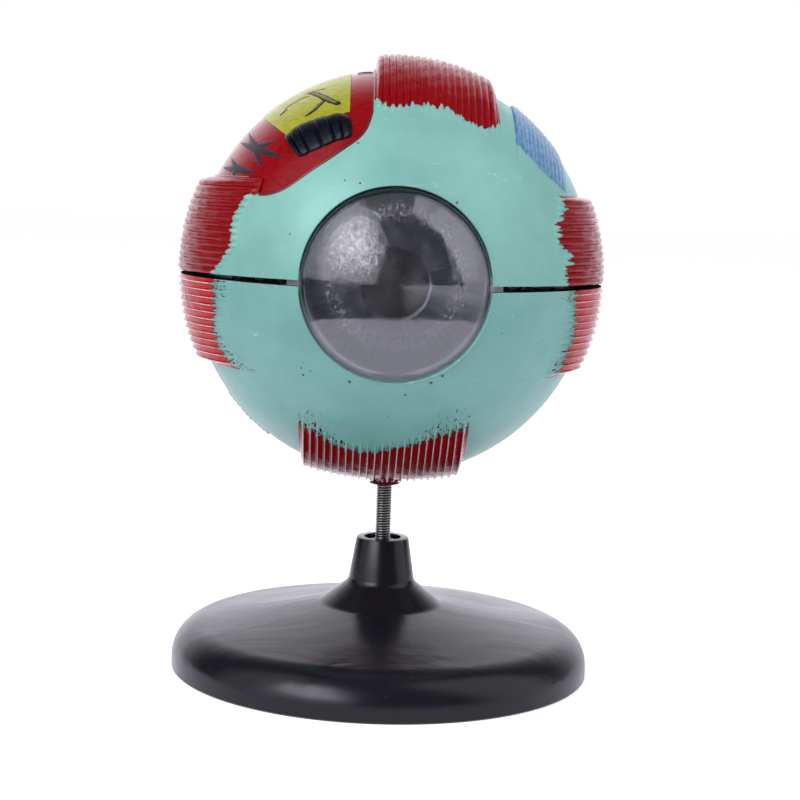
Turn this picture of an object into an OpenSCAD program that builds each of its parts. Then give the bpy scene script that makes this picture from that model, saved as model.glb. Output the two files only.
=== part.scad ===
// Take-apart model of the eye on a turntable stand, about six times life size.
// Millimetres. +Z is up, the cornea looks along -Y, and the origin is the
// middle of the stand's resting face.

/* [Globe] */
// Outer radius of the sclera: six times a 25 mm eye
globe_r = 75; // [73:0.5:76]
// Height of the globe's centre above the table
globe_z = 150.4; // [146:0.2:156]
// Thickness of the sclera shells
sclera_wall = 4; // [3.6:0.1:4.2]
// How far the parting plane lies below the globe's centre
parting_drop = 1; // [0.6:0.1:1.6]
// How far the upper shell's own centre sits above the lower one's
upper_raise = 1.9; // [1:0.1:2.2]
// Gap between the two rims at the equator
rim_gap = 1.3; // [1.2:0.1:1.6]
// Tilt of the upper rim, which opens the gap at the front
rim_tilt = 0.72; // [0.3:0.02:0.74]

/* [Cornea] */
// Radius of the hole in the front of the sclera
window_r = 33.4; // [33.2:0.1:33.8]
// Radius of the clear dome where it leaves the hole
cornea_r = 32.8; // [32:0.1:32.9]
// Height of the dome
cornea_rise = 13; // [11:0.5:14]
// Thickness of the clear dome
cornea_wall = 1.5; // [1.2:0.1:1.8]
// Radius of the flange that the shells trap
flange_r = 37.3; // [36.5:0.1:37.6]

/* [Muscles] */
// Spacing of the upper shell's ribs
upper_rib_pitch = 2.4; // [2:0.1:3]
// Spacing of the lower shell's ribs
lower_rib_pitch = 2.6; // [2.2:0.1:3]
// Height of a rib above the grooves beside it
rib_height = 0.7; // [0.4:0.1:1]
// How far the muscles stand off the sclera
muscle_rise = 4.8; // [4:0.2:5.2]
// How far the oblique muscles stand off the sclera
oblique_rise = 1.3; // [1:0.1:1.6]

/* [Cutaway] */
// How far the red layer lies below the surface of the sclera
recess_depth = 0.8; // [0.5:0.1:1.2]
// Thickness of the yellow layer on the red one
retina_step = 0.3; // [0.2:0.1:0.4]

/* [Inside] */
// Thickness of the choroid liners
liner_wall = 2; // [1.6:0.1:2]
// Radius of the pupil: six times a 4 mm pupil
pupil_r = 12; // [9:0.5:15]
// Radius of the lens
lens_r = 28; // [26:0.5:28]
// Thickness of the clear walls of the vitreous body
vitreous_wall = 3; // [2:0.5:3]

/* [Stand] */
// Radius of the round foot
stand_r = 79.4; // [76:0.2:84]
// Outer radius of the neck at its top
neck_r = 10; // [9.4:0.2:11]
// Height of the neck above the table
neck_z = 50.5; // [49:0.5:52]
// Wall of the moulded stand
stand_wall = 3; // [2.5:0.5:3.5]
// Diameter of the threaded rod, M6
rod_d = 6; // [6:1:6]
// Pitch of the rod's thread
rod_pitch = 1; // [1:1:1]

/* [Hidden] */
$fn = 96;
fine = 240;
far = 200;

// colours of the painted and moulded pieces
teal = "#8fcfbb";
muscle_red = "#a3202b";
oblique_blue = "#3f7fc4";
clear_grey = "#c9d2d6";
steel = "#9a9a98";
brass = "#b08d3c";

// cornea seat: slot in the shells for the flange, y measured back from the pole
seat_front = -64;
seat_back = -57;
slot_front = -62.4;
slot_back = -60.1;
slot_r = 38.2;
seat_r = 41.5;
upper_seat_z = 1;
cornea_z = 0.5;
flange_front = -62;
flange_back = -60.5;
dome_front = -66.5;

// choroid liner, its ring for the iris, and the pieces behind it
liner_r = globe_r - sclera_wall - 0.1;
liner_front = -56.3;
iris_ring_back = -50.4;
iris_ring_r = 38;
iris_ring_outer_r = 48.5;
iris_slot = [-54.5, -51.9];
iris_slot_r = 40.6;
iris_r = 40;
iris_front = -54.2;
iris_back = -52.2;
ciliary_r = 37;
ciliary_bore_r = 29.5;
ciliary_back = -49.8;
ciliary_folds = 48;
fold_w = 1.6;
fold_h = 3;
lens_y = -36;
lens_rim = 0.5;
lens_front_rise = 10.5;
lens_back_rise = 12;
vitreous_r = liner_r - liner_wall - 0.7;
vitreous_front_y = -36;
vitreous_foot_z = -64.2;
fit_gap = 0.4;
panel_t = 1;
glue_t = 0.06;

// dark lumps in the cutaway: place of the first, step to the next, and size
lumps = 6;
lump_start = [-37.4, 46.4];
lump_step = [3.84, 1.3];
lump_r = 2.6;
lump_sunk = 0.9;
lump_half = 6.8;
lump_taper = 0.35;

// muscle pads: first and last point across the ribs, then front and rear angles
superior_pad = [-35.5, 8.5, 51, 140];
lateral_upper_pad = [-6, 33, 48, 135];
medial_upper_pad = [-6, 30, 51, 135];
lateral_lower_pad = [-32.6, 3.8, 50, 135];
medial_lower_pad = [-32.6, 3.8, 51, 135];
inferior_pad = [-32, 27.8, 49, 140];
superior_oblique_pad = [-61, -42, 45, 125];
inferior_oblique_pad = [-60, -44, 75, 140];
side_rise = muscle_rise - 0.6;
inferior_rise = muscle_rise - 0.2;
inferior_dip = 1.6;
inferior_hole_r = 6;
oblique_rib_pitch = 1.6;
oblique_rib_height = 0.4;
rounded_rib = [0, 0.75, 1, 0.75];
narrow_rib = [0, 0.3, 1, 0.3];

// optic nerve stub on the nasal side of the back
nerve_x = 12;
nerve_r = 12;
nerve_end = 95;
nerve_root = 40;
vessel_r = 1.4;
vessel_offset = 2.5;
vessel_depth = 1.5;

// boss and insert that take the rod
boss_r = 9;
boss_top = -65;
insert_r = 5;
pin_r = 1;
pin_h = 3;
pin_angle = 50;

// stand
rim_z = 15.1;
rim_round = 13;
hub_r = 13.85;
hub_z = 27;
hub_round = 9.5;
boss_foot_z = 14;
post_r = 12;
counterbore_r = 7;
counterbore_z = 42.5;
rod_play = 0.06;
thread_depth = 0.55;
nut_flats = 10;
nut_h = 5;
washer_r = 6;
washer_h = 1.6;
swivel_gap = 0.1;
edge_bevel = 0.6;
rod_foot = 5.5;
washer_play = 0.2;
collar_r = 5.8;
collar_h = 4.55;
insert_sunk = 0.25;

module at_globe() translate([0, 0, globe_z]) children();

// a disc on the optical axis between two depths
module disc(r, back, front) rotate([90, 0, 0]) translate([0, 0, -back]) cylinder(r = r, h = back - front);

// everything below the lower rim, and everything above the tilted upper rim
module lower_side() translate([-far / 2, -far / 2, -parting_drop - far]) cube(far);
module upper_side() {
    translate([0, 0, rim_gap - parting_drop]) rotate([-rim_tilt, 0, 0])
        translate([-far / 2, -far / 2, 0]) cube(far);
}

// points of an arc that rounds the corner p between a and b
function unit(v) = v / norm(v);
function rounded(a, p, b, r, n = 12) =
    let (u = unit(a - p), v = unit(b - p), half = acos(u * v) / 2)
    let (c = p + unit(u + v) * r / sin(half))
    let (s = p + u * r / tan(half) - c, e = p + v * r / tan(half) - c)
    let (a0 = atan2(s[1], s[0]), swing = atan2(s[0] * e[1] - s[1] * e[0], s * e))
    [for (i = [0:n]) c + r * [cos(a0 + swing * i / n), sin(a0 + swing * i / n)]];

// ---- stand ----

module stand_base() color("#1c1c1f") difference() {
    rotate_extrude() polygon(concat(
        [[0, 0], [stand_r - edge_bevel, 0], [stand_r, edge_bevel]],
        rounded([stand_r, 0], [stand_r, rim_z], [hub_r, hub_z], rim_round),
        rounded([stand_r, rim_z], [hub_r, hub_z], [neck_r, neck_z], hub_round),
        [[neck_r, neck_z - edge_bevel], [neck_r - edge_bevel, neck_z], [0, neck_z]]
    ));
    // hollow underside round the post
    rotate_extrude() polygon(concat(
        [[post_r, -1], [stand_r - stand_wall, -1]],
        rounded([stand_r - stand_wall, 0], [stand_r - stand_wall, rim_z - stand_wall],
            [hub_r, hub_z - stand_wall], rim_round - stand_wall),
        [[post_r, hub_z - stand_wall]]
    ));
    translate([0, 0, -1]) cylinder(r = post_r + 0.01, h = boss_foot_z + 1);
    cylinder(r = rod_d / 2 + rod_play, h = neck_z);
    translate([0, 0, counterbore_z]) cylinder(r = counterbore_r, h = neck_z);
}

// the thread is drawn as rings at its true pitch
module threaded_rod() color(steel) {
    top = globe_z + boss_top - 1;
    turns = floor((top - rod_foot) / rod_pitch);
    crest = rod_d / 2;
    root = crest - thread_depth;
    rotate_extrude() polygon(concat(
        [[0, rod_foot], [root, rod_foot]],
        [for (i = [0:turns - 1], s = [[0.15, root], [0.45, crest], [0.6, crest], [0.9, root]])
            [s[1], rod_foot + (i + s[0]) * rod_pitch]],
        [[root, top], [0, top]]
    ));
}

module washer(z) color(steel) translate([0, 0, z]) difference() {
    cylinder(r = washer_r, h = washer_h);
    translate([0, 0, -1]) cylinder(r = rod_d / 2 + washer_play, h = washer_h + 2);
}

module nut(z) color(steel) translate([0, 0, z]) difference() {
    cylinder(d = nut_flats / cos(30), h = nut_h, $fn = 6);
    translate([0, 0, -1]) cylinder(r = rod_d / 2, h = nut_h + 2);
}

module upper_washer() washer(counterbore_z + swivel_gap);
module upper_nut() nut(counterbore_z + swivel_gap + washer_h);
module lower_washer() washer(boss_foot_z - swivel_gap - washer_h);
module lower_nut() nut(boss_foot_z - swivel_gap - washer_h - nut_h);

// red-painted ring round the rod where it enters the globe
module rod_collar() color(muscle_red) at_globe() difference() {
    translate([0, 0, -globe_r - collar_h - 0.05]) cylinder(r = collar_r, h = collar_h);
    translate([0, 0, -far / 2]) cylinder(r = rod_d / 2, h = far / 2);
}

// threaded brass insert in the lower shell's boss
module rod_insert() color(brass) at_globe() difference() {
    translate([0, 0, insert_sunk - globe_r]) cylinder(r = insert_r, h = globe_r + boss_top - insert_sunk);
    translate([0, 0, -far / 2]) cylinder(r = rod_d / 2, h = far);
}

// ---- sclera ----

// ball_z is the shell's own centre, seat_z that of the cornea's seat
module sclera_form(ball_z, seat_z) difference() {
    union() {
        translate([0, 0, ball_z]) difference() {
            sphere(globe_r);
            sphere(globe_r - sclera_wall);
        }
        intersection() {
            translate([0, 0, seat_z]) disc(seat_r, seat_back, seat_front);
            translate([0, 0, ball_z]) sphere(globe_r - 1);
        }
    }
    translate([0, 0, seat_z]) disc(window_r, -20, -far);
    translate([0, 0, seat_z]) disc(slot_r, slot_back, slot_front);
}

module sclera_lower() color(teal) at_globe() difference() {
    union() {
        intersection() {
            sclera_form(0, 0);
            lower_side();
        }
        translate([0, 0, 1 - globe_r]) cylinder(r = boss_r, h = globe_r - 1 + boss_top);
    }
    translate([0, 0, -far]) cylinder(r = insert_r, h = far);
}

module pin_places() for (s = [-1, 1]) rotate([0, 0, s * pin_angle])
    translate([0, globe_r - sclera_wall / 2, -parting_drop]) children();

module sclera_upper() color(teal) at_globe() difference() {
    intersection() {
        sclera_form(upper_raise, upper_seat_z);
        upper_side();
    }
    cutaway_outline() difference() {
        sphere(globe_r + 5);
        sphere(globe_r - recess_depth - panel_t);
    }
    pin_places() cylinder(r = pin_r + fit_gap, h = pin_h + 2);
}

module locating_pins() color(brass) at_globe() pin_places() cylinder(r = pin_r, h = pin_h);

// ---- cutaway in the upper shell ----

// smooth curve through points, with steps parts between two of them
function spline_at(a, b, c, d, f) =
    (2 * b + (c - a) * f + (2 * a - 5 * b + 4 * c - d) * f * f + (3 * b - a - 3 * c + d) * f * f * f) / 2;
function spline(points, steps) = [for (i = [1:len(points) - 3], k = [0:steps - 1])
    spline_at(points[i - 1], points[i], points[i + 1], points[i + 2], k / steps)];

// outline seen from the front; it stops at the two muscles beside it
step_line = [
    [-9.2, 64], [-9.2, 57.5], [-12.3, 49.5], [-20.4, 42.9], [-30.1, 36], [-38.9, 29.6],
    [-46.2, 27.1], [-51.8, 28.4], [-56, 33]
];
cutaway = concat([[-9.2, 90]], spline(step_line, 4), [[-52.4, 33.6], [-90, 33.6], [-90, 90]]);
yellow = [[-17.5, 90], [-17.5, 53.4], [-36.5, 46.4], [-48.2, 54.3], [-80, 84]];

// keeps what its child has inside an outline swept from the front over the top
module swept(outline, front, back) {
    translate([0, 0, upper_raise]) intersection() {
        rotate([90, 0, 0]) translate([0, 0, -back]) linear_extrude(height = back - front) polygon(outline);
        children();
    }
}
module cutaway_outline() swept(cutaway, -75, 24) children();

module layer(outer, inner) difference() {
    sphere(outer);
    sphere(inner);
}

module choroid_panel() color(muscle_red) at_globe()
    cutaway_outline() layer(globe_r - recess_depth, globe_r - recess_depth - panel_t);

// a row of long rounded lumps side by side along the lower edge of the yellow layer
module pigment_lumps() {
    sunk_r = globe_r - recess_depth - lump_sunk;
    for (i = [0:lumps - 1]) {
        x = lump_start[0] + lump_step[0] * i;
        z = lump_start[1] + lump_step[1] * i;
        y = -sqrt(sunk_r * sunk_r - x * x - z * z);
        half = lump_half - lump_taper * pow(i - lumps / 2, 2);
        translate([x, y, z]) rotate([atan2(-y, z), 0, 0]) capsule(lump_r, half);
    }
}

// a bar along Y with round ends
module capsule(r, half) {
    rotate([90, 0, 0]) cylinder(r = r, h = 2 * (half - r), center = true, $fn = 48);
    for (s = [-1, 1]) translate([0, s * (half - r), 0]) sphere(r, $fn = 48);
}

module retina_panel() color("#c3c22a") at_globe() difference() {
    swept(yellow, -60, 9) layer(globe_r - recess_depth + retina_step, globe_r - recess_depth + glue_t);
    translate([0, 0, upper_raise]) pigment_lumps();
}

module pigment_ridge() color("#15182b") at_globe() translate([0, 0, upper_raise]) difference() {
    pigment_lumps();
    sphere(globe_r - recess_depth, $fn = fine);
}

// ---- muscles ----

// centre of the circle through three points
function circle_through(a, b, c) =
    let (d = 2 * (a[0] * (b[1] - c[1]) + b[0] * (c[1] - a[1]) + c[0] * (a[1] - b[1])))
    [a * a * (b[1] - c[1]) + b * b * (c[1] - a[1]) + c * c * (a[1] - b[1]),
     a * a * (c[0] - b[0]) + b * b * (a[0] - c[0]) + c * c * (b[0] - a[0])] / d;

// direction at an angle from the cornea's pole, in the plane across a pad's axis
function heading(a) = [sin(a), -cos(a)];

// A ribbed pad turned about Z that rises out of the ball at front_deg from the
// cornea's pole, stands off by rise half-way, and sinks in again at rear_deg.
// dip lowers its middle. pad is [first, last, front_deg, rear_deg].
module ribbed_pad(pad, pitch, rise, rib = rounded_rib, dip = 0, depth = rib_height) {
    $fn = fine;
    span = [pad[0], pad[1]];
    front_deg = pad[2];
    rear_deg = pad[3];
    r = globe_r;
    mid_deg = (front_deg + rear_deg) / 2;
    top = (r + rise) * heading(mid_deg);
    c = circle_through(r * heading(front_deg), top, r * heading(rear_deg));
    middle = (span[0] + span[1]) / 2;
    half = (span[1] - span[0]) / 2;
    n = round(2 * half / pitch) * len(rib);
    difference() {
        translate([c[0], c[1], 0]) rotate_extrude() polygon(concat(
            [[r / 2, span[0]]],
            [for (i = [0:n])
                let (a = span[0] + 2 * half * i / n)
                let (fall = r - sqrt(r * r - a * a), sag = dip * (1 - pow((a - middle) / half, 2)))
                [norm(top - c) - fall - sag - depth * (1 - rib[i % len(rib)]), a]],
            [[r / 2, span[1]]]
        ));
        sphere(r);
    }
}

module above(z_ball) translate([0, 0, z_ball]) children();

module superior_rectus() color(muscle_red) at_globe() above(upper_raise)
    rotate([0, -90, 0]) ribbed_pad(superior_pad, upper_rib_pitch, muscle_rise);

module lateral_rectus_upper() color(muscle_red) at_globe() intersection() {
    above(upper_raise) mirror([1, 0, 0]) ribbed_pad(lateral_upper_pad, upper_rib_pitch, side_rise);
    upper_side();
}

module medial_rectus_upper() color(muscle_red) at_globe() intersection() {
    above(upper_raise) ribbed_pad(medial_upper_pad, upper_rib_pitch, side_rise);
    upper_side();
}

module lateral_rectus_lower() color(muscle_red) at_globe() intersection() {
    mirror([1, 0, 0]) ribbed_pad(lateral_lower_pad, lower_rib_pitch, side_rise, narrow_rib);
    lower_side();
}

module medial_rectus_lower() color(muscle_red) at_globe() intersection() {
    ribbed_pad(medial_lower_pad, lower_rib_pitch, side_rise, narrow_rib);
    lower_side();
}

module inferior_rectus() color(muscle_red) at_globe() difference() {
    rotate([0, 90, 0]) ribbed_pad(inferior_pad, lower_rib_pitch, inferior_rise, narrow_rib, inferior_dip);
    translate([0, 0, -far]) cylinder(r = inferior_hole_r, h = far);
}

module oblique_pad(pad) ribbed_pad(pad, oblique_rib_pitch, oblique_rise, depth = oblique_rib_height);

module superior_oblique() color(oblique_blue) at_globe() above(upper_raise)
    rotate([0, -90, 0]) oblique_pad(superior_oblique_pad);

module inferior_oblique() color(oblique_blue) at_globe()
    rotate([0, 90, 0]) oblique_pad(inferior_oblique_pad);

// ---- optic nerve ----

module nerve_stub(axis_z) {
    translate([nerve_x, 0, axis_z]) difference() {
        disc(nerve_r, nerve_end, nerve_root);
        // central vessels, sunk into the cut end
        for (s = [-1, 1]) translate([s * vessel_offset, 0, 0])
            disc(vessel_r, nerve_end + 1, nerve_end - vessel_depth);
    }
}

module optic_nerve_lower() color("#d8cf9a") at_globe() difference() {
    intersection() {
        nerve_stub(-parting_drop);
        lower_side();
    }
    sphere(globe_r);
}

module optic_nerve_upper() color("#d8cf9a") at_globe() difference() {
    nerve_stub(fit_gap - parting_drop);
    above(upper_raise) sphere(globe_r);
    translate([-far / 2, -far / 2, fit_gap - parting_drop - far]) cube(far);
}

// ---- choroid liners ----

module liner_form(ball_z, seat_z) difference() {
    union() {
        above(ball_z) layer(liner_r, liner_r - liner_wall);
        intersection() {
            above(seat_z) disc(iris_ring_outer_r, iris_ring_back, liner_front);
            above(ball_z) sphere(liner_r);
        }
    }
    above(seat_z) disc(iris_ring_r, -20, -far);
    above(seat_z) disc(iris_slot_r, iris_slot[1], iris_slot[0]);
    disc(far / 2, liner_front, -far);
}

module choroid_lower() color("#8a2420") at_globe() difference() {
    intersection() {
        liner_form(0, 0);
        lower_side();
    }
    translate([0, 0, -far]) cylinder(r = boss_r + 0.3, h = far);
}

module choroid_upper() color("#8a2420") at_globe() intersection() {
    liner_form(upper_raise, upper_seat_z);
    upper_side();
}

// ---- cornea, iris, lens and vitreous body ----

// clear dome on a short collar, with the flange behind it
module cornea() color(clear_grey) at_globe() above(cornea_z) {
    ball = (cornea_r * cornea_r + cornea_rise * cornea_rise) / (2 * cornea_rise);
    ball_y = dome_front - cornea_rise + ball;
    inner = ball - cornea_wall;
    inner_r = sqrt(inner * inner - pow(ball_y - dome_front, 2));
    difference() {
        union() {
            domed_bar(cornea_r, flange_back, ball, ball_y);
            disc(flange_r, flange_back, flange_front);
        }
        domed_bar(inner_r, flange_back + 1, inner, ball_y);
    }
}

// a bar along the optical axis whose front end is part of a ball
module domed_bar(r, back, ball, ball_y) intersection() {
    disc(r, back, -far);
    translate([0, ball_y, 0]) sphere(ball);
}

module iris() color("#3a3d42") at_globe() difference() {
    disc(iris_r, iris_back, iris_front);
    disc(pupil_r, 0, -far);
}

// ring with folds that stands behind the iris
module ciliary_ring() color("#33282a") at_globe()
    rotate([90, 0, 0]) translate([0, 0, -ciliary_back]) linear_extrude(height = ciliary_back - iris_back)
        difference() {
            circle(ciliary_r);
            circle(ciliary_bore_r);
            for (i = [0:ciliary_folds - 1]) rotate(i * 360 / ciliary_folds)
                translate([0, -fold_w / 2]) square([ciliary_bore_r + fold_h, fold_w]);
        }

module lens_ball(back, rise) {
    ball = (lens_r * lens_r + rise * rise) / (2 * rise);
    apex = lens_y + (lens_rim + rise) * (back ? 1 : -1);
    translate([0, apex - ball * (back ? 1 : -1), 0]) sphere(ball + $grow);
}

module lens() color("#dfe6e2") at_globe() {
    $grow = 0;
    intersection() {
        lens_ball(true, lens_back_rise);
        lens_ball(false, lens_front_rise);
        disc(lens_r, 0, -far);
    }
}

// hollow clear ball with a flat front, a dish for the lens and a flat to stand on
module vitreous_form() {
    difference() {
        sphere(vitreous_r);
        difference() {
            intersection() {
                sphere(vitreous_r - vitreous_wall);
                disc(far / 2, far / 2, vitreous_front_y + vitreous_wall);
                translate([-far / 2, -far / 2, vitreous_foot_z + vitreous_wall]) cube(far);
            }
            lens_ball(true, lens_back_rise, $grow = fit_gap + vitreous_wall);
        }
        lens_ball(true, lens_back_rise, $grow = fit_gap);
        disc(far / 2, vitreous_front_y, -far);
        translate([-far / 2, -far / 2, vitreous_foot_z - far]) cube(far);
    }
}

module vitreous_front() color(clear_grey) at_globe() intersection() {
    vitreous_form();
    disc(far / 2, 0, -far / 2);
}

module vitreous_rear() color(clear_grey) at_globe() intersection() {
    vitreous_form();
    disc(far / 2, far / 2, 0);
}

stand_base();
threaded_rod();
upper_washer();
upper_nut();
lower_washer();
lower_nut();
rod_collar();
rod_insert();
sclera_lower();
inferior_rectus();
lateral_rectus_lower();
medial_rectus_lower();
inferior_oblique();
optic_nerve_lower();
choroid_lower();
locating_pins();
sclera_upper();
superior_rectus();
lateral_rectus_upper();
medial_rectus_upper();
superior_oblique();
optic_nerve_upper();
choroid_upper();
choroid_panel();
retina_panel();
pigment_ridge();
cornea();
iris();
ciliary_ring();
lens();
vitreous_front();
vitreous_rear();
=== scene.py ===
# %% [markdown]
# # An eye model on a turntable stand
# The object is a take-apart teaching model: a painted ball, split at its equator, on a
# threaded rod and a black foot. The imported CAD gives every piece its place. This script
# gives them relief, paint and light. All lengths are metres, so MM turns millimetres in.

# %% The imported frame
import math
import bmesh
import bpy
import numpy as np
from mathutils import Matrix, Vector


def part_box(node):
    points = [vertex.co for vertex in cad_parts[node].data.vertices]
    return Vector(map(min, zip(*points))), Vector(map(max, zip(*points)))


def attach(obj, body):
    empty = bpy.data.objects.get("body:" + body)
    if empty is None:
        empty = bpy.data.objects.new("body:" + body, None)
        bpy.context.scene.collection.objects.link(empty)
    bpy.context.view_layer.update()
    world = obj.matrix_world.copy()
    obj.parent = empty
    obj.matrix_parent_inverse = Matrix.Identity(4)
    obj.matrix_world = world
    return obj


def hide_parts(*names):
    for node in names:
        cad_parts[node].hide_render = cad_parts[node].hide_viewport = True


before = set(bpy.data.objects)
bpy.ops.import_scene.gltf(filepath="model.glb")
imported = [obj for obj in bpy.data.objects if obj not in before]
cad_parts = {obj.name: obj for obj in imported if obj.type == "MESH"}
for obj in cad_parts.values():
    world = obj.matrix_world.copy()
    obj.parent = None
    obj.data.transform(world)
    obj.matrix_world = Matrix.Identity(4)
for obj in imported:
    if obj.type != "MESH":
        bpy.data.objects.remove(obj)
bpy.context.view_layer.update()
MM = 0.001

# %% [markdown]
# The two shells are parts of two balls. The lower shell ends 1 mm below its own centre,
# and the upper shell's centre sits a little above the lower one's.

# %% The two balls
GLOBE_R = 75.0
PARTING_DROP = 1.0
UPPER_RAISE = 1.9
RIM_GAP = 1.3
RIM_TILT = math.radians(0.72)
low_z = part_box("sclera_lower")[1].z / MM + PARTING_DROP
CENTRE = {"lower": low_z, "upper": low_z + UPPER_RAISE}
print("ball centres (mm):", {k: round(v, 2) for k, v in CENTRE.items()})

# %% [markdown]
# ## Helpers
# Colours are written as sRGB hex, the way a paint chart gives them, and Cycles wants
# linear light, so one function converts. One more function adds a shader node with its
# settings and links, which keeps a material readable from top to bottom.

# %% Colour and node helpers
def srgb(code):
    parts = [int(code[i:i + 2], 16) / 255 for i in (1, 3, 5)]
    return tuple(p / 12.92 if p <= 0.04045 else ((p + 0.055) / 1.055) ** 2.4 for p in parts) + (1.0,)


def add(tree, kind, inputs=None, **settings):
    node = tree.nodes.new(kind)
    for key, value in settings.items():
        setattr(node, key, value)
    for key, value in (inputs or {}).items():
        if isinstance(value, bpy.types.NodeSocket):
            tree.links.new(value, node.inputs[key])
        else:
            node.inputs[key].default_value = value
    return node.outputs[0] if node.outputs else None


def new_material(name):
    material = bpy.data.materials.new(name)
    material.use_nodes = True
    tree = material.node_tree
    tree.nodes.clear()
    place = tree.nodes.new("ShaderNodeTexCoord").outputs["Object"]
    return material, tree, place


def finish_material(tree, shader):
    add(tree, "ShaderNodeOutputMaterial", {"Surface": shader})


# %% [markdown]
# Curved pieces are made as a grid of points that is skinned with quads. A closed grid
# makes a closed solid, and points that fall together (on an axis, or where a pad ends)
# are merged. This is how a lathe or a loft works in a modelling program.

# %% Skinning a grid of points
def skin(name, points, wrap_rows=False, wrap_columns=True, sharp=35):
    rows, columns = points.shape[:2]
    mesh = bpy.data.meshes.new(name)
    faces = []
    for i in range(rows if wrap_rows else rows - 1):
        for j in range(columns if wrap_columns else columns - 1):
            i2, j2 = (i + 1) % rows, (j + 1) % columns
            faces.append((i * columns + j, i * columns + j2, i2 * columns + j2, i2 * columns + j))
    mesh.from_pydata((points.reshape(-1, 3) * MM).tolist(), [], faces)
    return tidy_mesh(name, mesh, sharp)


def tidy_mesh(name, mesh, sharp=35):
    solid = bmesh.new()
    solid.from_mesh(mesh)
    bmesh.ops.remove_doubles(solid, verts=solid.verts, dist=2e-6)
    bmesh.ops.dissolve_degenerate(solid, edges=solid.edges, dist=1e-6)
    bmesh.ops.recalc_face_normals(solid, faces=solid.faces)
    solid.to_mesh(mesh)
    solid.free()
    mesh.shade_smooth()
    mesh.set_sharp_from_angle(angle=math.radians(sharp))
    piece = bpy.data.objects.new(name, mesh)
    bpy.context.scene.collection.objects.link(piece)
    return piece


def fit(piece, body, slot, material, *nodes):
    """Gives a piece its finish and its body, and hides the CAD nodes that it stands for."""
    piece.data.materials.clear()
    piece.data.materials.append(material)
    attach(piece, body)
    if nodes:
        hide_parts(*nodes)
    print("made", piece.name, len(piece.data.polygons), "faces")
    return piece


def turn(profile, steps):
    """Revolves (radius, height) points about an axis: returns a grid (points, steps, 3)."""
    around = np.linspace(0, 2 * math.pi, steps, endpoint=False)
    r, h = profile[:, 0][:, None], profile[:, 1][:, None]
    return np.stack([r * np.cos(around), r * np.sin(around), h + 0 * around], axis=-1)


def ripple(u, v, seed=0):
    """Smooth repeatable unevenness between about -1 and 1, from a few crossed waves."""
    total = 0
    for k, (a, b, c) in enumerate([(1, .31, .2), (-.47, 1.1, 1.7), (1.9, -.8, 3.1), (.83, 2.3, 4.4)]):
        total = total + np.sin(a * u + b * v + c + seed * (1.3 + k)) / (1 + 0.5 * k)
    return total / 2.2


# %% [markdown]
# ## Camera
# The photograph was taken from in front and a little above. The place and lens come from
# matching the ball, the foot and the rod. The focal length came out as 1881 pixels of the
# 800 pixel picture, and a 36 mm sensor turns that into millimetres.

# %% Camera
pitch, yaw, roll = math.radians(6.97), math.radians(1.684), math.radians(2.0)
forward = Vector((math.sin(yaw) * math.cos(pitch), math.cos(yaw) * math.cos(pitch), -math.sin(pitch)))
right = forward.cross(Vector((0, 0, 1))).normalized()
up = right.cross(forward)
right, up = (right * math.cos(roll) + up * math.sin(roll), up * math.cos(roll) - right * math.sin(roll))
camera_data = bpy.data.cameras.new("camera")
camera_data.sensor_width = 36
camera_data.lens = 1881 / 800 * 36
camera_data.clip_end = 20
camera = bpy.data.objects.new("camera", camera_data)
place = Vector((-16, -709, 190)) * MM
camera.matrix_world = Matrix((
    (right.x, up.x, -forward.x, place.x),
    (right.y, up.y, -forward.y, place.y),
    (right.z, up.z, -forward.z, place.z),
    (0, 0, 0, 1),
))
bpy.context.scene.collection.objects.link(camera)
bpy.context.scene.camera = camera
print("camera at", [round(v, 3) for v in place])

# %% [markdown]
# ## Light
# A product photograph has a white backdrop behind, a dark studio in front and a soft box
# on either side. The clear dome mirrors all of that, so the world shows it to mirror rays
# by direction: the left soft box as three patches, each brighter or softer than the last,
# and the right one as one patch. Area lamps light the paint. The camera sees white.

# %% World
world = bpy.data.worlds.new("studio")
bpy.context.scene.world = world
world.use_nodes = True
tree = world.node_tree
tree.nodes.clear()
direction = tree.nodes.new("ShaderNodeTexCoord").outputs["Generated"]
rays = tree.nodes.new("ShaderNodeLightPath").outputs
split = tree.nodes.new("ShaderNodeSeparateXYZ")
tree.links.new(direction, split.inputs[0])
mirrored = add(tree, "ShaderNodeMapRange", {0: split.outputs[1], 1: 0.4, 2: 0.95, 3: 0.03, 4: 1.6},
               interpolation_type="SMOOTHSTEP")
BOXES = [
    # strength, edge softness, corners as (azimuth, elevation) seen from the ball
    (1.05, 0.07, [(-15, -2), (-19, 30), (-26, 46), (-45, 60), (-80, 70), (-96, 60), (-96, -2)]),
    (1.3, 0.12, [(-18, -2), (-20, 34), (-36, 54), (-62, 50), (-67, -2)]),
    (6.4, 0.13, [(-20, 14), (-20, 30), (-38, 50), (-56, 44), (-58, 22), (-44, 12)]),
    (1.5, 0.02, [(62, -5), (105, -5), (105, 62), (50, 74), (26, 61)]),
]


def toward(azimuth, elevation):
    a, e = math.radians(azimuth), math.radians(elevation)
    return Vector((math.sin(a) * math.cos(e), -math.cos(a) * math.cos(e), math.sin(e)))


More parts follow.
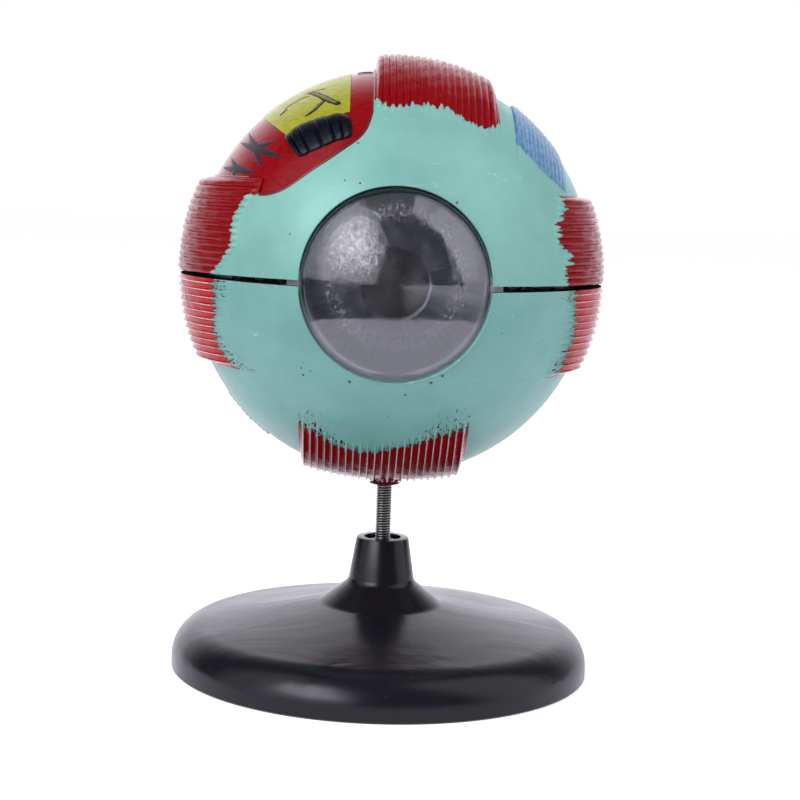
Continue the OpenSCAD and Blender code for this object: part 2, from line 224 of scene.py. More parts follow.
for strength, soft, corners in BOXES:
    corners = [toward(*corner) for corner in corners]
    middle = sum(corners, Vector())
    mask = None
    for first, second in zip(corners, corners[1:] + corners[:1]):
        edge = first.cross(second).normalized()
        if edge.dot(middle) < 0:
            edge = -edge
        inside = add(tree, "ShaderNodeVectorMath", {0: direction, 1: edge},
            operation="DOT_PRODUCT").node.outputs["Value"]
        inside = add(tree, "ShaderNodeMapRange", {0: inside, 1: -soft, 2: soft},
            interpolation_type="SMOOTHSTEP")
        mask = inside if mask is None else add(tree, "ShaderNodeMath", {0: mask, 1: inside},
            operation="MULTIPLY")
    mirrored = add(tree, "ShaderNodeMath", {0: mask, 1: strength, 2: mirrored}, operation="MULTIPLY_ADD")
mirror_ray = add(tree, "ShaderNodeMath", {0: rays["Is Glossy Ray"], 1: rays["Is Transmission Ray"]},
    operation="MAXIMUM")
level = add(tree, "ShaderNodeMix", {0: mirror_ray, 2: 0.5, 3: mirrored})
level = add(tree, "ShaderNodeMix", {0: rays["Is Camera Ray"], 2: level, 3: 1.0})
hue = add(tree, "ShaderNodeMix", {0: rays["Is Camera Ray"], 6: (0.985, 0.965, 1.05, 1), 7: (1, 1, 1, 1)},
          data_type="RGBA").node.outputs[2]
background = add(tree, "ShaderNodeBackground", {"Color": hue, "Strength": level})
add(tree, "ShaderNodeOutputWorld", {"Surface": background})
bpy.context.scene.view_settings.view_transform = "Standard"
print("world ready")

# %% [markdown]
# The key and fill lamps stand where the world shows the left and right soft boxes. The top
# lamp lightens the upper side and has no reflection. All three are hidden from mirror rays,
# because the world already gives those what they see.

# %% Soft boxes
for name, azimuth, elevation, distance, size, watts in [
    ("key_box", -50, 36, 1.1, (0.85, 1.0), 6.0),
    ("fill_box", 62, 30, 1.2, (0.6, 1.2), 3.4),
    ("top_box", 0, 80, 1.2, (1.0, 1.0), 2.1),
]:
    lamp_data = bpy.data.lights.new(name, "AREA")
    lamp_data.shape = "RECTANGLE"
    lamp_data.size, lamp_data.size_y = size
    lamp_data.energy = watts
    lamp = bpy.data.objects.new(name, lamp_data)
    aim = Vector((0, 0, low_z * MM))
    spot = toward(azimuth, elevation)
    lamp.location = aim + spot * distance
    lamp.rotation_euler = spot.to_track_quat("Z", "Y").to_euler()
    lamp.visible_glossy = False
    lamp.visible_camera = False
    bpy.context.scene.collection.objects.link(lamp)
    print(name, "at", [round(v, 2) for v in lamp.location])

# %% [markdown]
# The floor is white card. Camera and mirror rays get a little extra, so that lit card
# reads as the white page while the object's soft shadow still shows on it. In mirrors and
# clear plastic the card in front of the object ends 0.3 m from the middle, and the dark
# studio shows beyond it, less and less towards the right.

# %% Floor
material, tree, place = new_material("white_card")
rays = tree.nodes.new("ShaderNodeLightPath").outputs
grain = add(tree, "ShaderNodeTexNoise", {"Vector": place, "Scale": 900.0, "Detail": 2.0})
tone = add(tree, "ShaderNodeMapRange", {0: grain, 3: 0.80, 4: 0.82})
card = add(tree, "ShaderNodeBsdfDiffuse", {"Color": tone})
seen = add(tree, "ShaderNodeMath", {0: rays["Is Camera Ray"], 1: rays["Is Transmission Ray"]},
    operation="MAXIMUM")
seen = add(tree, "ShaderNodeMath", {0: seen, 1: 0.6}, operation="MULTIPLY")
seen = add(tree, "ShaderNodeMath", {0: rays["Is Glossy Ray"], 1: 0.75, 2: seen}, operation="MULTIPLY_ADD")
hue = add(tree, "ShaderNodeMix", {0: rays["Is Glossy Ray"], 6: (1, 1, 1, 1), 7: (0.97, 0.94, 1.12, 1)},
          data_type="RGBA").node.outputs[2]
glow = add(tree, "ShaderNodeEmission", {"Color": hue, "Strength": seen})
lit = add(tree, "ShaderNodeAddShader", {0: card, 1: glow})
split = tree.nodes.new("ShaderNodeSeparateXYZ")
tree.links.new(place, split.inputs[0])
from_middle = add(tree, "ShaderNodeVectorMath", {0: place, 1: (0.02, -0.01, 0)},
    operation="DISTANCE").node.outputs["Value"]
beyond = add(tree, "ShaderNodeMapRange", {0: from_middle, 1: 0.295, 2: 0.315})
in_front = add(tree, "ShaderNodeMapRange", {0: split.outputs[1], 1: 0.1, 2: 0.0})
to_right = add(tree, "ShaderNodeMapRange", {0: split.outputs[0], 1: 0.1, 2: 0.8, 3: 1.0, 4: 0.15})
in_front = add(tree, "ShaderNodeMath", {0: in_front, 1: to_right}, operation="MULTIPLY")
beyond = add(tree, "ShaderNodeMath", {0: beyond, 1: in_front}, operation="MULTIPLY")
mirror_ray = add(tree, "ShaderNodeMath", {0: rays["Is Glossy Ray"], 1: rays["Is Transmission Ray"]},
    operation="MAXIMUM")
beyond = add(tree, "ShaderNodeMath", {0: beyond, 1: mirror_ray}, operation="MULTIPLY")
dark = add(tree, "ShaderNodeBsdfDiffuse", {"Color": (0.06, 0.06, 0.065, 1)})
finish_material(tree, add(tree, "ShaderNodeMixShader", {0: beyond, 1: lit, 2: dark}))
floor_mesh = bpy.data.meshes.new("floor")
floor_mesh.from_pydata([(-6, -6, 0), (6, -6, 0), (6, 6, 0), (-6, 6, 0)], [], [(0, 1, 2, 3)])
floor = bpy.data.objects.new("floor", floor_mesh)
floor.data.materials.append(material)
bpy.context.scene.collection.objects.link(floor)
print("floor ready")

# %% [markdown]
# ## Muscle pads
# Each muscle is a ribbed pad moulded on a shell. One table holds them all, because both
# the relief and the paint follow it: `axis` is the world axis the ribs are counted along,
# `side` says on which side of the ball the pad lies, `span` is its width in mm from the
# ball's centre, `rise` how far it stands off, and `front` and `rear` are the angles from
# the cornea's pole where it leaves the ball. `edge` is where the brush stopped, as angles
# along the pad's width, and `run` is how far the ribs go on forward under the teal.

# %% Table of the muscle pads
PADS = {
    "superior_rectus": dict(
        shell="upper", axis="x", side=1, span=(-8.5, 35.5), rise=4.8, front=51, rear=140, pitch=2.4,
        ridge="round", edge=[(-8.5, 55), (-3, 52), (8, 53.6), (17, 53.2), (21, 51.5), (26, 50.2),
            (31, 50.6), (35.5, 57)],
        run=1.5, jag=1.5, dry=0.5),
    "lateral_rectus_upper": dict(
        shell="upper", axis="z", side=-1, span=(-6, 33), rise=4.2, front=48, rear=135, pitch=2.4,
        ridge="round", edge=[(-3, 59), (1.6, 55.5), (9, 50.5), (18, 51), (26.5, 48.6), (29.5, 46.5),
            (33, 41)],
        run=1.5, jag=1.2, dry=0.45),
    "medial_rectus_upper": dict(
        shell="upper", axis="z", side=1, span=(-6, 30), rise=4.2, front=51, rear=135, pitch=2.4,
        ridge="round", edge=[(-3, 54), (4, 54), (10, 56), (12.5, 52.5), (19, 51.5), (24, 54.5), (30, 58)],
        run=1.5, jag=2.4, dry=0.6),
    "lateral_rectus_lower": dict(
        shell="lower", axis="z", side=-1, span=(-32.6, 3.8), rise=4.2, front=50, rear=135, pitch=2.6,
        ridge="narrow", edge=[(-32.6, 54), (-28, 58.2), (-20, 59.2), (-8, 57), (-1, 57.5)],
        run=5, jag=1.2, dry=1.6, spatter=9),
    "medial_rectus_lower": dict(
        shell="lower", axis="z", side=1, span=(-32.6, 3.8), rise=4.2, front=51, rear=135, pitch=2.6,
        ridge="narrow", edge=[(-32.6, 61), (-24, 61), (-13, 60.5), (-5, 59), (-1, 60)],
        run=9, jag=1.4, dry=2.0, spatter=9),
    "inferior_rectus": dict(
        shell="lower", axis="x", side=-1, span=(-32, 27.8), rise=4.6, front=49, rear=140, pitch=2.6, dip=2.3,
        ridge="narrow", edge=[(-32, 50), (-26, 51), (-21, 53.5), (-14, 55.3), (-6, 54.5), (2, 52), (10, 50),
            (17, 47.6), (27.8, 47)],
        run=4, jag=1.4, dry=1.8, spatter=11),
}
OBLIQUES = {
    "superior_oblique": dict(
        shell="upper", axis="x", side=1, span=(42, 61), rise=1.3, front=45, rear=125, pitch=1.6,
        ridge="fine", edge=[(40, 52), (45, 48.5), (50, 45.8), (55, 45), (61, 46)], run=0, jag=0.7, dry=0.5),
    "inferior_oblique": dict(
        shell="lower", axis="x", side=-1, span=(-60, -44), rise=1.3, front=75, rear=140, pitch=1.6,
        ridge="fine", edge=[(-60, 78), (-44, 78)], run=0, jag=0.7, dry=0.5),
}
print("pads:", len(PADS), "obliques:", len(OBLIQUES))


# %% [markdown]
# A pad's surface is a slightly barrelled arc. Seen across the ribs, its section is a circle
# through its front edge, its highest point and its rear edge; the ball's own curve lowers
# it towards its ends. The grid has a row every 0.2 mm across the ribs, which draws a rib
# with 8 to 13 rows, and the relief fades forward so the ribs die out under the teal.

# %% Relief of a pad
def circle_through(a, b, c):
    d = 2 * (a[0] * (b[1] - c[1]) + b[0] * (c[1] - a[1]) + c[0] * (a[1] - b[1]))
    sa, sb, sc = a @ a, b @ b, c @ c
    return np.array([sa * (b[1] - c[1]) + sb * (c[1] - a[1]) + sc * (a[1] - b[1]),
                     sa * (c[0] - b[0]) + sb * (a[0] - c[0]) + sc * (b[0] - a[0])]) / d


def heading(degrees):
    angle = np.radians(degrees)
    return np.array([np.sin(angle), -np.cos(angle)])


def ridge_height(kind, phase, wander):
    """Height over the groove: round cords above, thin raised lines below, fine lines on blue."""
    if kind == "round":
        return 0.75 * np.abs(np.sin(np.pi * phase)) ** 0.55 * (1 + 0.12 * wander)
    if kind == "narrow":
        return 0.95 * np.exp(-((phase - 0.5) / 0.13) ** 2) * (1 + 0.18 * wander)
    return 0.35 * np.abs(np.sin(np.pi * phase)) * (1 + 0.3 * wander)


def pad_grid(name, spec, step=0.2, lift=0.0):
    top = (GLOBE_R + spec["rise"]) * heading((spec["front"] + spec["rear"]) / 2)
    c = circle_through(GLOBE_R * heading(spec["front"]), top, GLOBE_R * heading(spec["rear"]))
    crown = np.linalg.norm(top - c)
    low, high = spec["span"]
    lead = spec["run"] + 3
    start, stop = [np.degrees(np.arctan2(*( (GLOBE_R * heading(a) - c) * [1, -1])))
        for a in (spec["front"] - lead, spec["rear"] + 3)]
    phi = np.linspace(start, stop, int((stop - start) / 0.7))
    t = np.linspace(0, 1, int((high - low) / step))
    # the parting cuts the side pads: their first or last row follows the rim
    y_line = c[1] - crown * np.cos(np.radians(phi))
    a_low, a_high = np.full_like(phi, low), np.full_like(phi, high)
    if spec["axis"] == "z":
        if spec["shell"] == "upper":
            a_low = RIM_GAP - PARTING_DROP - UPPER_RAISE - y_line * math.tan(RIM_TILT)
        else:
            a_high = np.full_like(phi, -PARTING_DROP)
    a = a_low[None, :] + (a_high - a_low)[None, :] * t[:, None]
    h = heading(phi)[:, None, :]
    ball = np.sqrt(GLOBE_R ** 2 - a ** 2)
    dot = c[0] * h[0] + c[1] * h[1]
    to_ball = -dot + np.sqrt(dot ** 2 - c @ c + ball ** 2)
    smooth = crown - (GLOBE_R - ball) - spec.get("dip", 0) * (1 - ((a - (low + high) / 2) / ((high
        - low) / 2)) ** 2)
    phase = ((a - low) / spec["pitch"]) % 1
    index = np.floor((a - low) / spec["pitch"])
    wander = ripple(phi[None, :] * 0.35, index * 2.7, len(name))
    # ends of the pad round over, except where the parting cuts it
    shoulder = np.ones_like(a)
    ends = [(low, spec["axis"] == "x" or spec["shell"] == "lower"),
        (high, spec["axis"] == "x" or spec["shell"] == "upper")]
    for end, rounded in ends:
        if rounded:
            near = np.clip(np.abs(a - end) / 2.2, 0, 1)
            shoulder = shoulder * np.sqrt(1 - (1 - near) ** 2)
    raised = (smooth - to_ball) * shoulder
    raised = 0.5 * (raised + np.sqrt(raised ** 2 + 0.5)) - 0.15
    # ribs start to show this many degrees before the paint
    angle = np.degrees(np.arctan2(c[0] + crown * h[0], -(c[1] + crown * h[1])))
    edge = np.interp(a, [p[0] for p in spec["edge"]], [p[1] for p in spec["edge"]])
    fade = np.clip((angle - (edge - spec["run"] - 1.5)) / (spec["run"] + 1.0), 0, 1)
    fade = fade * fade * (3 - 2 * fade)
    rear_fade = np.clip((spec["rear"] - 1 - angle) / 4, 0, 1)
    relief = ridge_height(spec["ridge"], phase, wander) * fade * rear_fade * np.clip(shoulder * 1.4, 0, 1)
    relief = relief + 0.10 * ripple(a * 0.9, phi[None, :] * 0.8, 3) * fade
    start_fade = np.clip((angle - (spec["front"] - lead)) / 2.5, 0, 1)
    body = (np.clip(raised, 0, None) + relief) * start_fade - 0.06
    outside = to_ball + body + lift
    under = to_ball - 1.2
    # one closed loop per row: along the top, back along the underside
    loops = np.concatenate([outside, under[:, ::-1]], axis=1)
    loops = np.concatenate([np.concatenate([under, under[:, ::-1]], axis=1)[:1], loops,
                            np.concatenate([under, under[:, ::-1]], axis=1)[-1:]], axis=0)
    a_loops = np.concatenate([a, a[:, ::-1]], axis=1)
    a_loops = np.concatenate([a_loops[:1], a_loops, a_loops[-1:]], axis=0)
    h_loops = np.concatenate([heading(phi), heading(phi)[:, ::-1]], axis=1)
    out = c[0] + loops * h_loops[0]
    y = c[1] + loops * h_loops[1]
    centre = CENTRE[spec["shell"]]
    if spec["axis"] == "x":
        return np.stack([a_loops, y, centre + spec["side"] * out], axis=-1)
    return np.stack([spec["side"] * out, y, centre + a_loops], axis=-1)


# %% [markdown]
# ## Paint on the ball
# The shells are moulded PVC, painted with satin enamel: a sprayed teal coat, then red and
# blue put on with a worn brush. Enamel hides the plastic completely, levels out to a low
# gloss and has an IOR near 1.5. The same material covers a shell and its pads, so the brush
# edge can run across the join. The mask for each pad comes from its row in the table: the
# angle from the cornea's pole must be past the brush edge, plus noise stretched along the
# stroke for the bristle marks.

# %% Painted PVC
TEAL = {"upper": ("#88c3b8", "#7ab5aa"), "lower": ("#84bdb6", "#76b0aa")}
TEAL_WORN = "#b2d8d4"
# the near white of the ribs' crests is worn paint and a painted highlight
RED, RED_DEEP, RED_WORN_AND_HIGHLIGHT = "#a20b16", "#72060f", "#f8e8ea"
RED_BLED = "#22090c"
BLUE, BLUE_DEEP = "#6e9fc4", "#4e7ba8"
# chips down to the dark primer: place from the ball's centre and size, mm
CHIPS = {
    "lower": [(-31.6, -61.3, -29.6, 0.35), (-30.8, -60.4, -32.1, 0.45), (-28.4, -62.4, -30.4, 0.3),
              (-14.7, -65.5, -33.4, 0.55), (4.6, -64.9, -37.4, 0.4), (13.4, -66.2, -32.8, 0.55),
              (17.2, -66.5, -30.2, 0.5)],
    "upper": [(-13.2, -66.1, 32.8, 0.4), (-36.6, -63.8, 14.7, 0.3), (19.9, -66.9, 27.3, 0.4),
              (-14.3, -57.2, 46.4, 0.35), (-18.4, -64.5, 33.6, 0.3)],
}


def painted_pvc(name, shell, reds, blues):
    material, tree, place = new_material(name)
    local = add(tree, "ShaderNodeVectorMath", {0: place, 1: (0, 0, CENTRE[shell] * MM)}, operation="SUBTRACT")
    local = add(tree, "ShaderNodeVectorMath", {0: local, "Scale": 1000.0}, operation="SCALE")
    split = tree.nodes.new("ShaderNodeSeparateXYZ")
    tree.links.new(local, split.inputs[0])
    x, y, z = split.outputs
    ahead = add(tree, "ShaderNodeMath", {0: y, 1: -1.0}, operation="MULTIPLY")
    bristles_fine = add(tree, "ShaderNodeTexNoise", {"Vector": local, "Scale": 2.2, "Detail": 3.0,
        "Roughness": 0.65})

    coats = {"red": None, "blue": None}
    crest_wear_and_highlight = bled = None
    for group, specs in (("red", reds), ("blue", blues)):
        for k, spec in enumerate(specs):
            across, out = (x, z) if spec["axis"] == "x" else (z, x)
            out = add(tree, "ShaderNodeMath", {0: out, 1: float(spec["side"])}, operation="MULTIPLY")
            angle = add(tree, "ShaderNodeMath", {0: out, 1: ahead}, operation="ARCTAN2")
            angle = add(tree, "ShaderNodeMath", {0: angle, 1: 57.29578}, operation="MULTIPLY")
            # where the brush stopped, as a curve along the pad's width
            low, high = spec["span"]
            share = add(tree, "ShaderNodeMapRange", {0: across, 1: low, 2: high, 3: 0.0, 4: 1.0})
            stop = tree.nodes.new("ShaderNodeFloatCurve")
            points = [((p[0] - low) / (high - low), (p[1] - 40) / 50) for p in spec["edge"]]
            curve = stop.mapping.curves[0]
            for q, point in enumerate(points):
                if q < 2:
                    curve.points[q].location = point
                else:
                    curve.points.new(*point)
            stop.mapping.update()
            tree.links.new(share, stop.inputs["Value"])
            edge = add(tree, "ShaderNodeMapRange", {0: stop.outputs[0], 3: 40.0, 4: 90.0})
            # bristle marks: 1.3 mm and 0.4 mm wide, and long along the stroke
            along = add(tree, "ShaderNodeCombineXYZ", {0: across, 1: angle,
                2: 7.0 * k + (40 if group == "blue" else 0)})
            wide = add(tree, "ShaderNodeVectorMath", {0: along, 1: (0.75, 0.10, 1.0)}, operation="MULTIPLY")
            wide = add(tree, "ShaderNodeTexNoise", {"Vector": wide, "Scale": 1.0, "Detail": 1.0})
            fine = add(tree, "ShaderNodeVectorMath", {0: along, 1: (2.6, 0.5, 1.0)}, operation="MULTIPLY")
            fine = add(tree, "ShaderNodeTexNoise", {"Vector": fine, "Scale": 1.0, "Detail": 3.0,
                "Roughness": 0.7})
            wide = add(tree, "ShaderNodeMapRange", {0: wide, 1: 0.25, 2: 0.75, 3: -spec["jag"],
                4: spec["jag"]}, clamp=False)
            fine = add(tree, "ShaderNodeMapRange", {0: fine, 1: 0.25, 2: 0.75, 3: -spec["dry"],
                4: spec["dry"]}, clamp=False)
            past = add(tree, "ShaderNodeMath", {0: angle, 1: edge}, operation="SUBTRACT")
            past = add(tree, "ShaderNodeMath", {0: past, 1: wide}, operation="ADD")
            past = add(tree, "ShaderNodeMath", {0: past, 1: fine}, operation="ADD")
            if spec["ridge"] == "narrow":
                # 0 on the crest of a raised line, 0.5 in the middle of the groove
                count = add(tree, "ShaderNodeMath", {0: across, 1: low}, operation="SUBTRACT")
                count = add(tree, "ShaderNodeMath", {0: count, 1: spec["pitch"]}, operation="DIVIDE")
                count = add(tree, "ShaderNodeMath", {0: count}, operation="FRACT")
                count = add(tree, "ShaderNodeMath", {0: count, 1: 0.5}, operation="SUBTRACT")
                count = add(tree, "ShaderNodeMath", {0: count}, operation="ABSOLUTE")
                # the brush left tongues of paint in the grooves and missed the crests
                tongue = add(tree, "ShaderNodeMapRange", {0: count, 1: 0.1, 2: 0.4, 3: -1.0, 4: 0.8})
                middle = add(tree, "ShaderNodeMath", {0: share, 1: 0.5}, operation="SUBTRACT")
                middle = add(tree, "ShaderNodeMath", {0: middle}, operation="ABSOLUTE")
                middle = add(tree, "ShaderNodeMapRange", {0: middle, 1: 0.12, 2: 0.38, 3: 0.25, 4: 1.0})
                # loose flecks and dragged strokes where the half-dry brush lifted
                fleck = add(tree, "ShaderNodeVectorMath", {0: along, 1: (1.5, 0.55, 1.0)},
                    operation="MULTIPLY")
                fleck = add(tree, "ShaderNodeTexNoise", {"Vector": fleck, "Scale": 1.0, "Detail": 3.0,
                    "Roughness": 0.65, "Distortion": 0.5})
                fleck = add(tree, "ShaderNodeMapRange", {0: fleck, 1: 0.52, 2: 0.66, 3: 0.0,
                    4: spec["spatter"]})
                fleck = add(tree, "ShaderNodeMath", {0: fleck, 1: tongue}, operation="ADD")
                fleck = add(tree, "ShaderNodeMath", {0: fleck, 1: middle}, operation="MULTIPLY")
                loose = add(tree, "ShaderNodeMapRange", {0: past, 1: -0.1, 2: -1.3, 3: 0.0, 4: 0.85})
                past = add(tree, "ShaderNodeMath", {0: past, 1: fleck}, operation="ADD")
            # the two long edges of the pad, and its rear edge
            area = None
            for value, near, far in ((across, low - 0.7, low - 0.3), (across, high + 0.7, high + 0.3),
                                     (angle, spec["rear"] + 1.0, spec["rear"] - 0.5), (out, 0.0, 1.0)):
                limit = add(tree, "ShaderNodeMapRange", {0: value, 1: near, 2: far})
                area = limit if area is None else add(tree, "ShaderNodeMath", {0: area, 1: limit},
                    operation="MULTIPLY")
            coat = add(tree, "ShaderNodeMapRange", {0: past, 1: -0.12, 2: 0.12},
                interpolation_type="SMOOTHSTEP")
            coat = add(tree, "ShaderNodeMath", {0: coat, 1: area}, operation="MULTIPLY")
            coats[group] = coat if coats[group] is None else add(
                tree, "ShaderNodeMath", {0: coats[group], 1: coat}, operation="MAXIMUM")
            if spec["ridge"] == "narrow":
                # paint pooled dark along the edges of flecks and strokes
                pool = add(tree, "ShaderNodeMapRange", {0: past, 1: 0.3, 2: 1.0, 3: 1.0, 4: 0.0})
                started = add(tree, "ShaderNodeMapRange", {0: past, 1: -0.6, 2: -0.2})
                pool = add(tree, "ShaderNodeMath", {0: pool, 1: loose}, operation="MAXIMUM")
                pool = add(tree, "ShaderNodeMath", {0: pool, 1: started}, operation="MULTIPLY")
                pool = add(tree, "ShaderNodeMath", {0: pool, 1: area}, operation="MULTIPLY")
                bled = pool if bled is None else add(tree, "ShaderNodeMath", {0: bled, 1: pool},
                    operation="MAXIMUM")
                # paint rubbed thin on the crests of the raised lines, drawn near white as a painted highlight
                # too
                line = add(tree, "ShaderNodeMapRange", {0: count, 1: 0.10, 2: 0.045},
                    interpolation_type="SMOOTHSTEP")
                line = add(tree, "ShaderNodeMath", {0: line, 1: coat}, operation="MULTIPLY")
                crest_wear_and_highlight = line if crest_wear_and_highlight is None else add(tree, "ShaderNodeMath", {0: crest_wear_and_highlight, 1: line},
                    operation="MAXIMUM")

    if shell == "upper":
        # the brush ran on from the side muscle into the corner of the cutaway
        for cx, cy, cz, size in ((-53.6, -43.2, 29.6, 2.8), (-51.4, -45.8, 29.8, 2.8),
            (-49.2, -48.0, 29.6, 2.6)):
            away = add(tree, "ShaderNodeVectorMath", {0: local, 1: (cx, cy, cz)},
                operation="DISTANCE").node.outputs["Value"]
            away = add(tree, "ShaderNodeMapRange", {0: away, 1: size + 0.2, 2: size - 0.2})
            coats["red"] = add(tree, "ShaderNodeMath", {0: coats["red"], 1: away}, operation="MAXIMUM")

    # teal: cloudy over 20 mm, rubbed paler in scuffs a few millimetres long
    cloud = add(tree, "ShaderNodeTexNoise", {"Vector": local, "Scale": 0.05, "Detail": 4.0,
        "Roughness": 0.55})
    cloud = add(tree, "ShaderNodeMapRange", {0: cloud, 1: 0.3, 2: 0.7})
    teal = add(tree, "ShaderNodeMix", {0: cloud, 6: srgb(TEAL[shell][0]), 7: srgb(TEAL[shell][1])},
        data_type="RGBA")
    teal = teal.node.outputs[2]
    warped = add(tree, "ShaderNodeVectorMath", {0: local, 1: (0.11, 0.11, 0.32)}, operation="MULTIPLY")
    scuff = add(tree, "ShaderNodeTexNoise", {"Vector": warped, "Scale": 1.0, "Detail": 6.0,
        "Roughness": 0.6, "Distortion": 1.4})
    scuff = add(tree, "ShaderNodeMapRange", {0: scuff, 1: 0.63, 2: 0.74, 4: 0.6})
    teal = add(tree, "ShaderNodeMix", {0: scuff, 6: teal, 7: srgb(TEAL_WORN)},
        data_type="RGBA").node.outputs[2]
    # chips down to the dark primer, about half a millimetre across, in loose groups
    cell = tree.nodes.new("ShaderNodeTexVoronoi")
    tree.links.new(local, cell.inputs["Vector"])
    cell.inputs["Scale"].default_value = 0.16
    cell.inputs["Randomness"].default_value = 1.0
    chip = add(tree, "ShaderNodeMapRange", {0: cell.outputs["Distance"], 1: 0.055, 2: 0.03})
    grouped = add(tree, "ShaderNodeTexNoise", {"Vector": local, "Scale": 0.035, "Detail": 1.0})
    grouped = add(tree, "ShaderNodeMapRange", {0: grouped, 1: 0.5, 2: 0.55})
    chip = add(tree, "ShaderNodeMath", {0: chip, 1: grouped}, operation="MULTIPLY")
    for cx, cy, cz, size in CHIPS[shell]:
        away = add(tree, "ShaderNodeVectorMath", {0: local, 1: (cx, cy, cz)},
            operation="DISTANCE").node.outputs["Value"]
        away = add(tree, "ShaderNodeMath", {0: bristles_fine, 1: 0.9, 2: away}, operation="MULTIPLY_ADD")
        away = add(tree, "ShaderNodeMapRange", {0: away, 1: size + 0.65, 2: size + 0.35})
        chip = add(tree, "ShaderNodeMath", {0: chip, 1: away}, operation="MAXIMUM")
    teal = add(tree, "ShaderNodeMix", {0: chip, 6: teal, 7: srgb("#3b4f4c")},
        data_type="RGBA").node.outputs[2]

    # red: thick and thin strokes, paler where it is rubbed
    tone = add(tree, "ShaderNodeMapRange", {0: bristles_fine, 1: 0.3, 2: 0.7})
    red = add(tree, "ShaderNodeMix", {0: tone, 6: srgb(RED), 7: srgb(RED_DEEP)},
        data_type="RGBA").node.outputs[2]
    if shell == "lower":
        # the red on the side muscles is brighter than on the bottom one
        side = add(tree, "ShaderNodeMath", {0: x}, operation="ABSOLUTE")
        side = add(tree, "ShaderNodeMapRange", {0: side, 1: 44.0, 2: 58.0, 4: 0.8})
        red = add(tree, "ShaderNodeMix", {0: side, 6: red, 7: srgb("#c60d1b")},
            data_type="RGBA").node.outputs[2]
    if bled is not None:
        red = add(tree, "ShaderNodeMix", {0: bled, 6: red, 7: srgb(RED_BLED)},
            data_type="RGBA").node.outputs[2]
    # crests of the raised lines: worn paint and a painted highlight, near white
    if crest_wear_and_highlight is not None:
        worn = add(tree, "ShaderNodeMapRange", {0: bristles_fine, 1: 0.64, 2: 0.46, 3: 0.35, 4: 1.0})
        crest_wear_and_highlight = add(tree, "ShaderNodeMath", {0: crest_wear_and_highlight, 1: worn}, operation="MULTIPLY")
        red = add(tree, "ShaderNodeMix", {0: crest_wear_and_highlight, 6: red, 7: srgb(RED_WORN_AND_HIGHLIGHT)},
            data_type="RGBA").node.outputs[2]
    blue_noise = add(tree, "ShaderNodeVectorMath", {0: local, 1: (1.4, 0.35, 0.35)}, operation="MULTIPLY")
    blue_noise = add(tree, "ShaderNodeTexNoise", {"Vector": blue_noise, "Scale": 1.0, "Detail": 4.0})
    blue_noise = add(tree, "ShaderNodeMapRange", {0: blue_noise, 1: 0.35, 2: 0.65})
    blue = add(tree, "ShaderNodeMix", {0: blue_noise, 6: srgb(BLUE), 7: srgb(BLUE_DEEP)},
        data_type="RGBA").node.outputs[2]

    colour = teal
    if coats["blue"] is not None:
        colour = add(tree, "ShaderNodeMix", {0: coats["blue"], 6: colour, 7: blue},
            data_type="RGBA").node.outputs[2]
    colour = add(tree, "ShaderNodeMix", {0: coats["red"], 6: colour, 7: red},
        data_type="RGBA").node.outputs[2]

    # painted shade: the flat rims where the shells meet are painted near black, as the dark of the gap
    # between them
    facing = tree.nodes.new("ShaderNodeSeparateXYZ")
    tree.links.new(tree.nodes.new("ShaderNodeNewGeometry").outputs["True Normal"], facing.inputs[0])
    level = add(tree, "ShaderNodeMath", {0: facing.outputs[2]}, operation="ABSOLUTE")
    level = add(tree, "ShaderNodeMapRange", {0: level, 1: 0.95, 2: 0.98})
    near = add(tree, "ShaderNodeMath", {0: z}, operation="ABSOLUTE")
    near = add(tree, "ShaderNodeMapRange", {0: near, 1: 4.0, 2: 3.5})
    rim_gap_shade = add(tree, "ShaderNodeMath", {0: level, 1: near}, operation="MULTIPLY")
    colour = add(tree, "ShaderNodeMix", {0: rim_gap_shade, 6: colour, 7: srgb("#14110f")},
        data_type="RGBA").node.outputs[2]

    # gloss: levelled enamel, duller in the scuffs, a little glossier on the red
    gloss = add(tree, "ShaderNodeMapRange", {0: bristles_fine, 3: 0.30, 4: 0.44})
    gloss = add(tree, "ShaderNodeMath", {0: scuff, 1: 0.25, 2: gloss}, operation="MULTIPLY_ADD")
    less = add(tree, "ShaderNodeMath", {0: coats["red"], 1: -0.2, 2: gloss}, operation="MULTIPLY_ADD")
    less = add(tree, "ShaderNodeMath", {0: rim_gap_shade, 1: 0.95, 2: less}, operation="MULTIPLY_ADD")
    # relief: 8 mm waves of the moulding, orange peel, and the edge of the top coats
    wave = add(tree, "ShaderNodeTexNoise", {"Vector": local, "Scale": 0.09, "Detail": 2.0})
    peel = add(tree, "ShaderNodeTexNoise", {"Vector": local, "Scale": 1.1, "Detail": 3.0, "Roughness": 0.6})
    bump = add(tree, "ShaderNodeBump", {"Height": wave, "Strength": 0.5, "Distance": 0.0006})
    bump = add(tree, "ShaderNodeBump", {"Height": peel, "Strength": 0.35, "Distance": 0.00015,
        "Normal": bump})
    bump = add(tree, "ShaderNodeBump", {"Height": coats["red"], "Strength": 0.6, "Distance": 0.00015,
        "Normal": bump})
    strokes = add(tree, "ShaderNodeMath", {0: bristles_fine, 1: coats["red"]}, operation="MULTIPLY")
    bump = add(tree, "ShaderNodeBump", {"Height": strokes, "Strength": 0.3, "Distance": 0.00015,
        "Normal": bump})
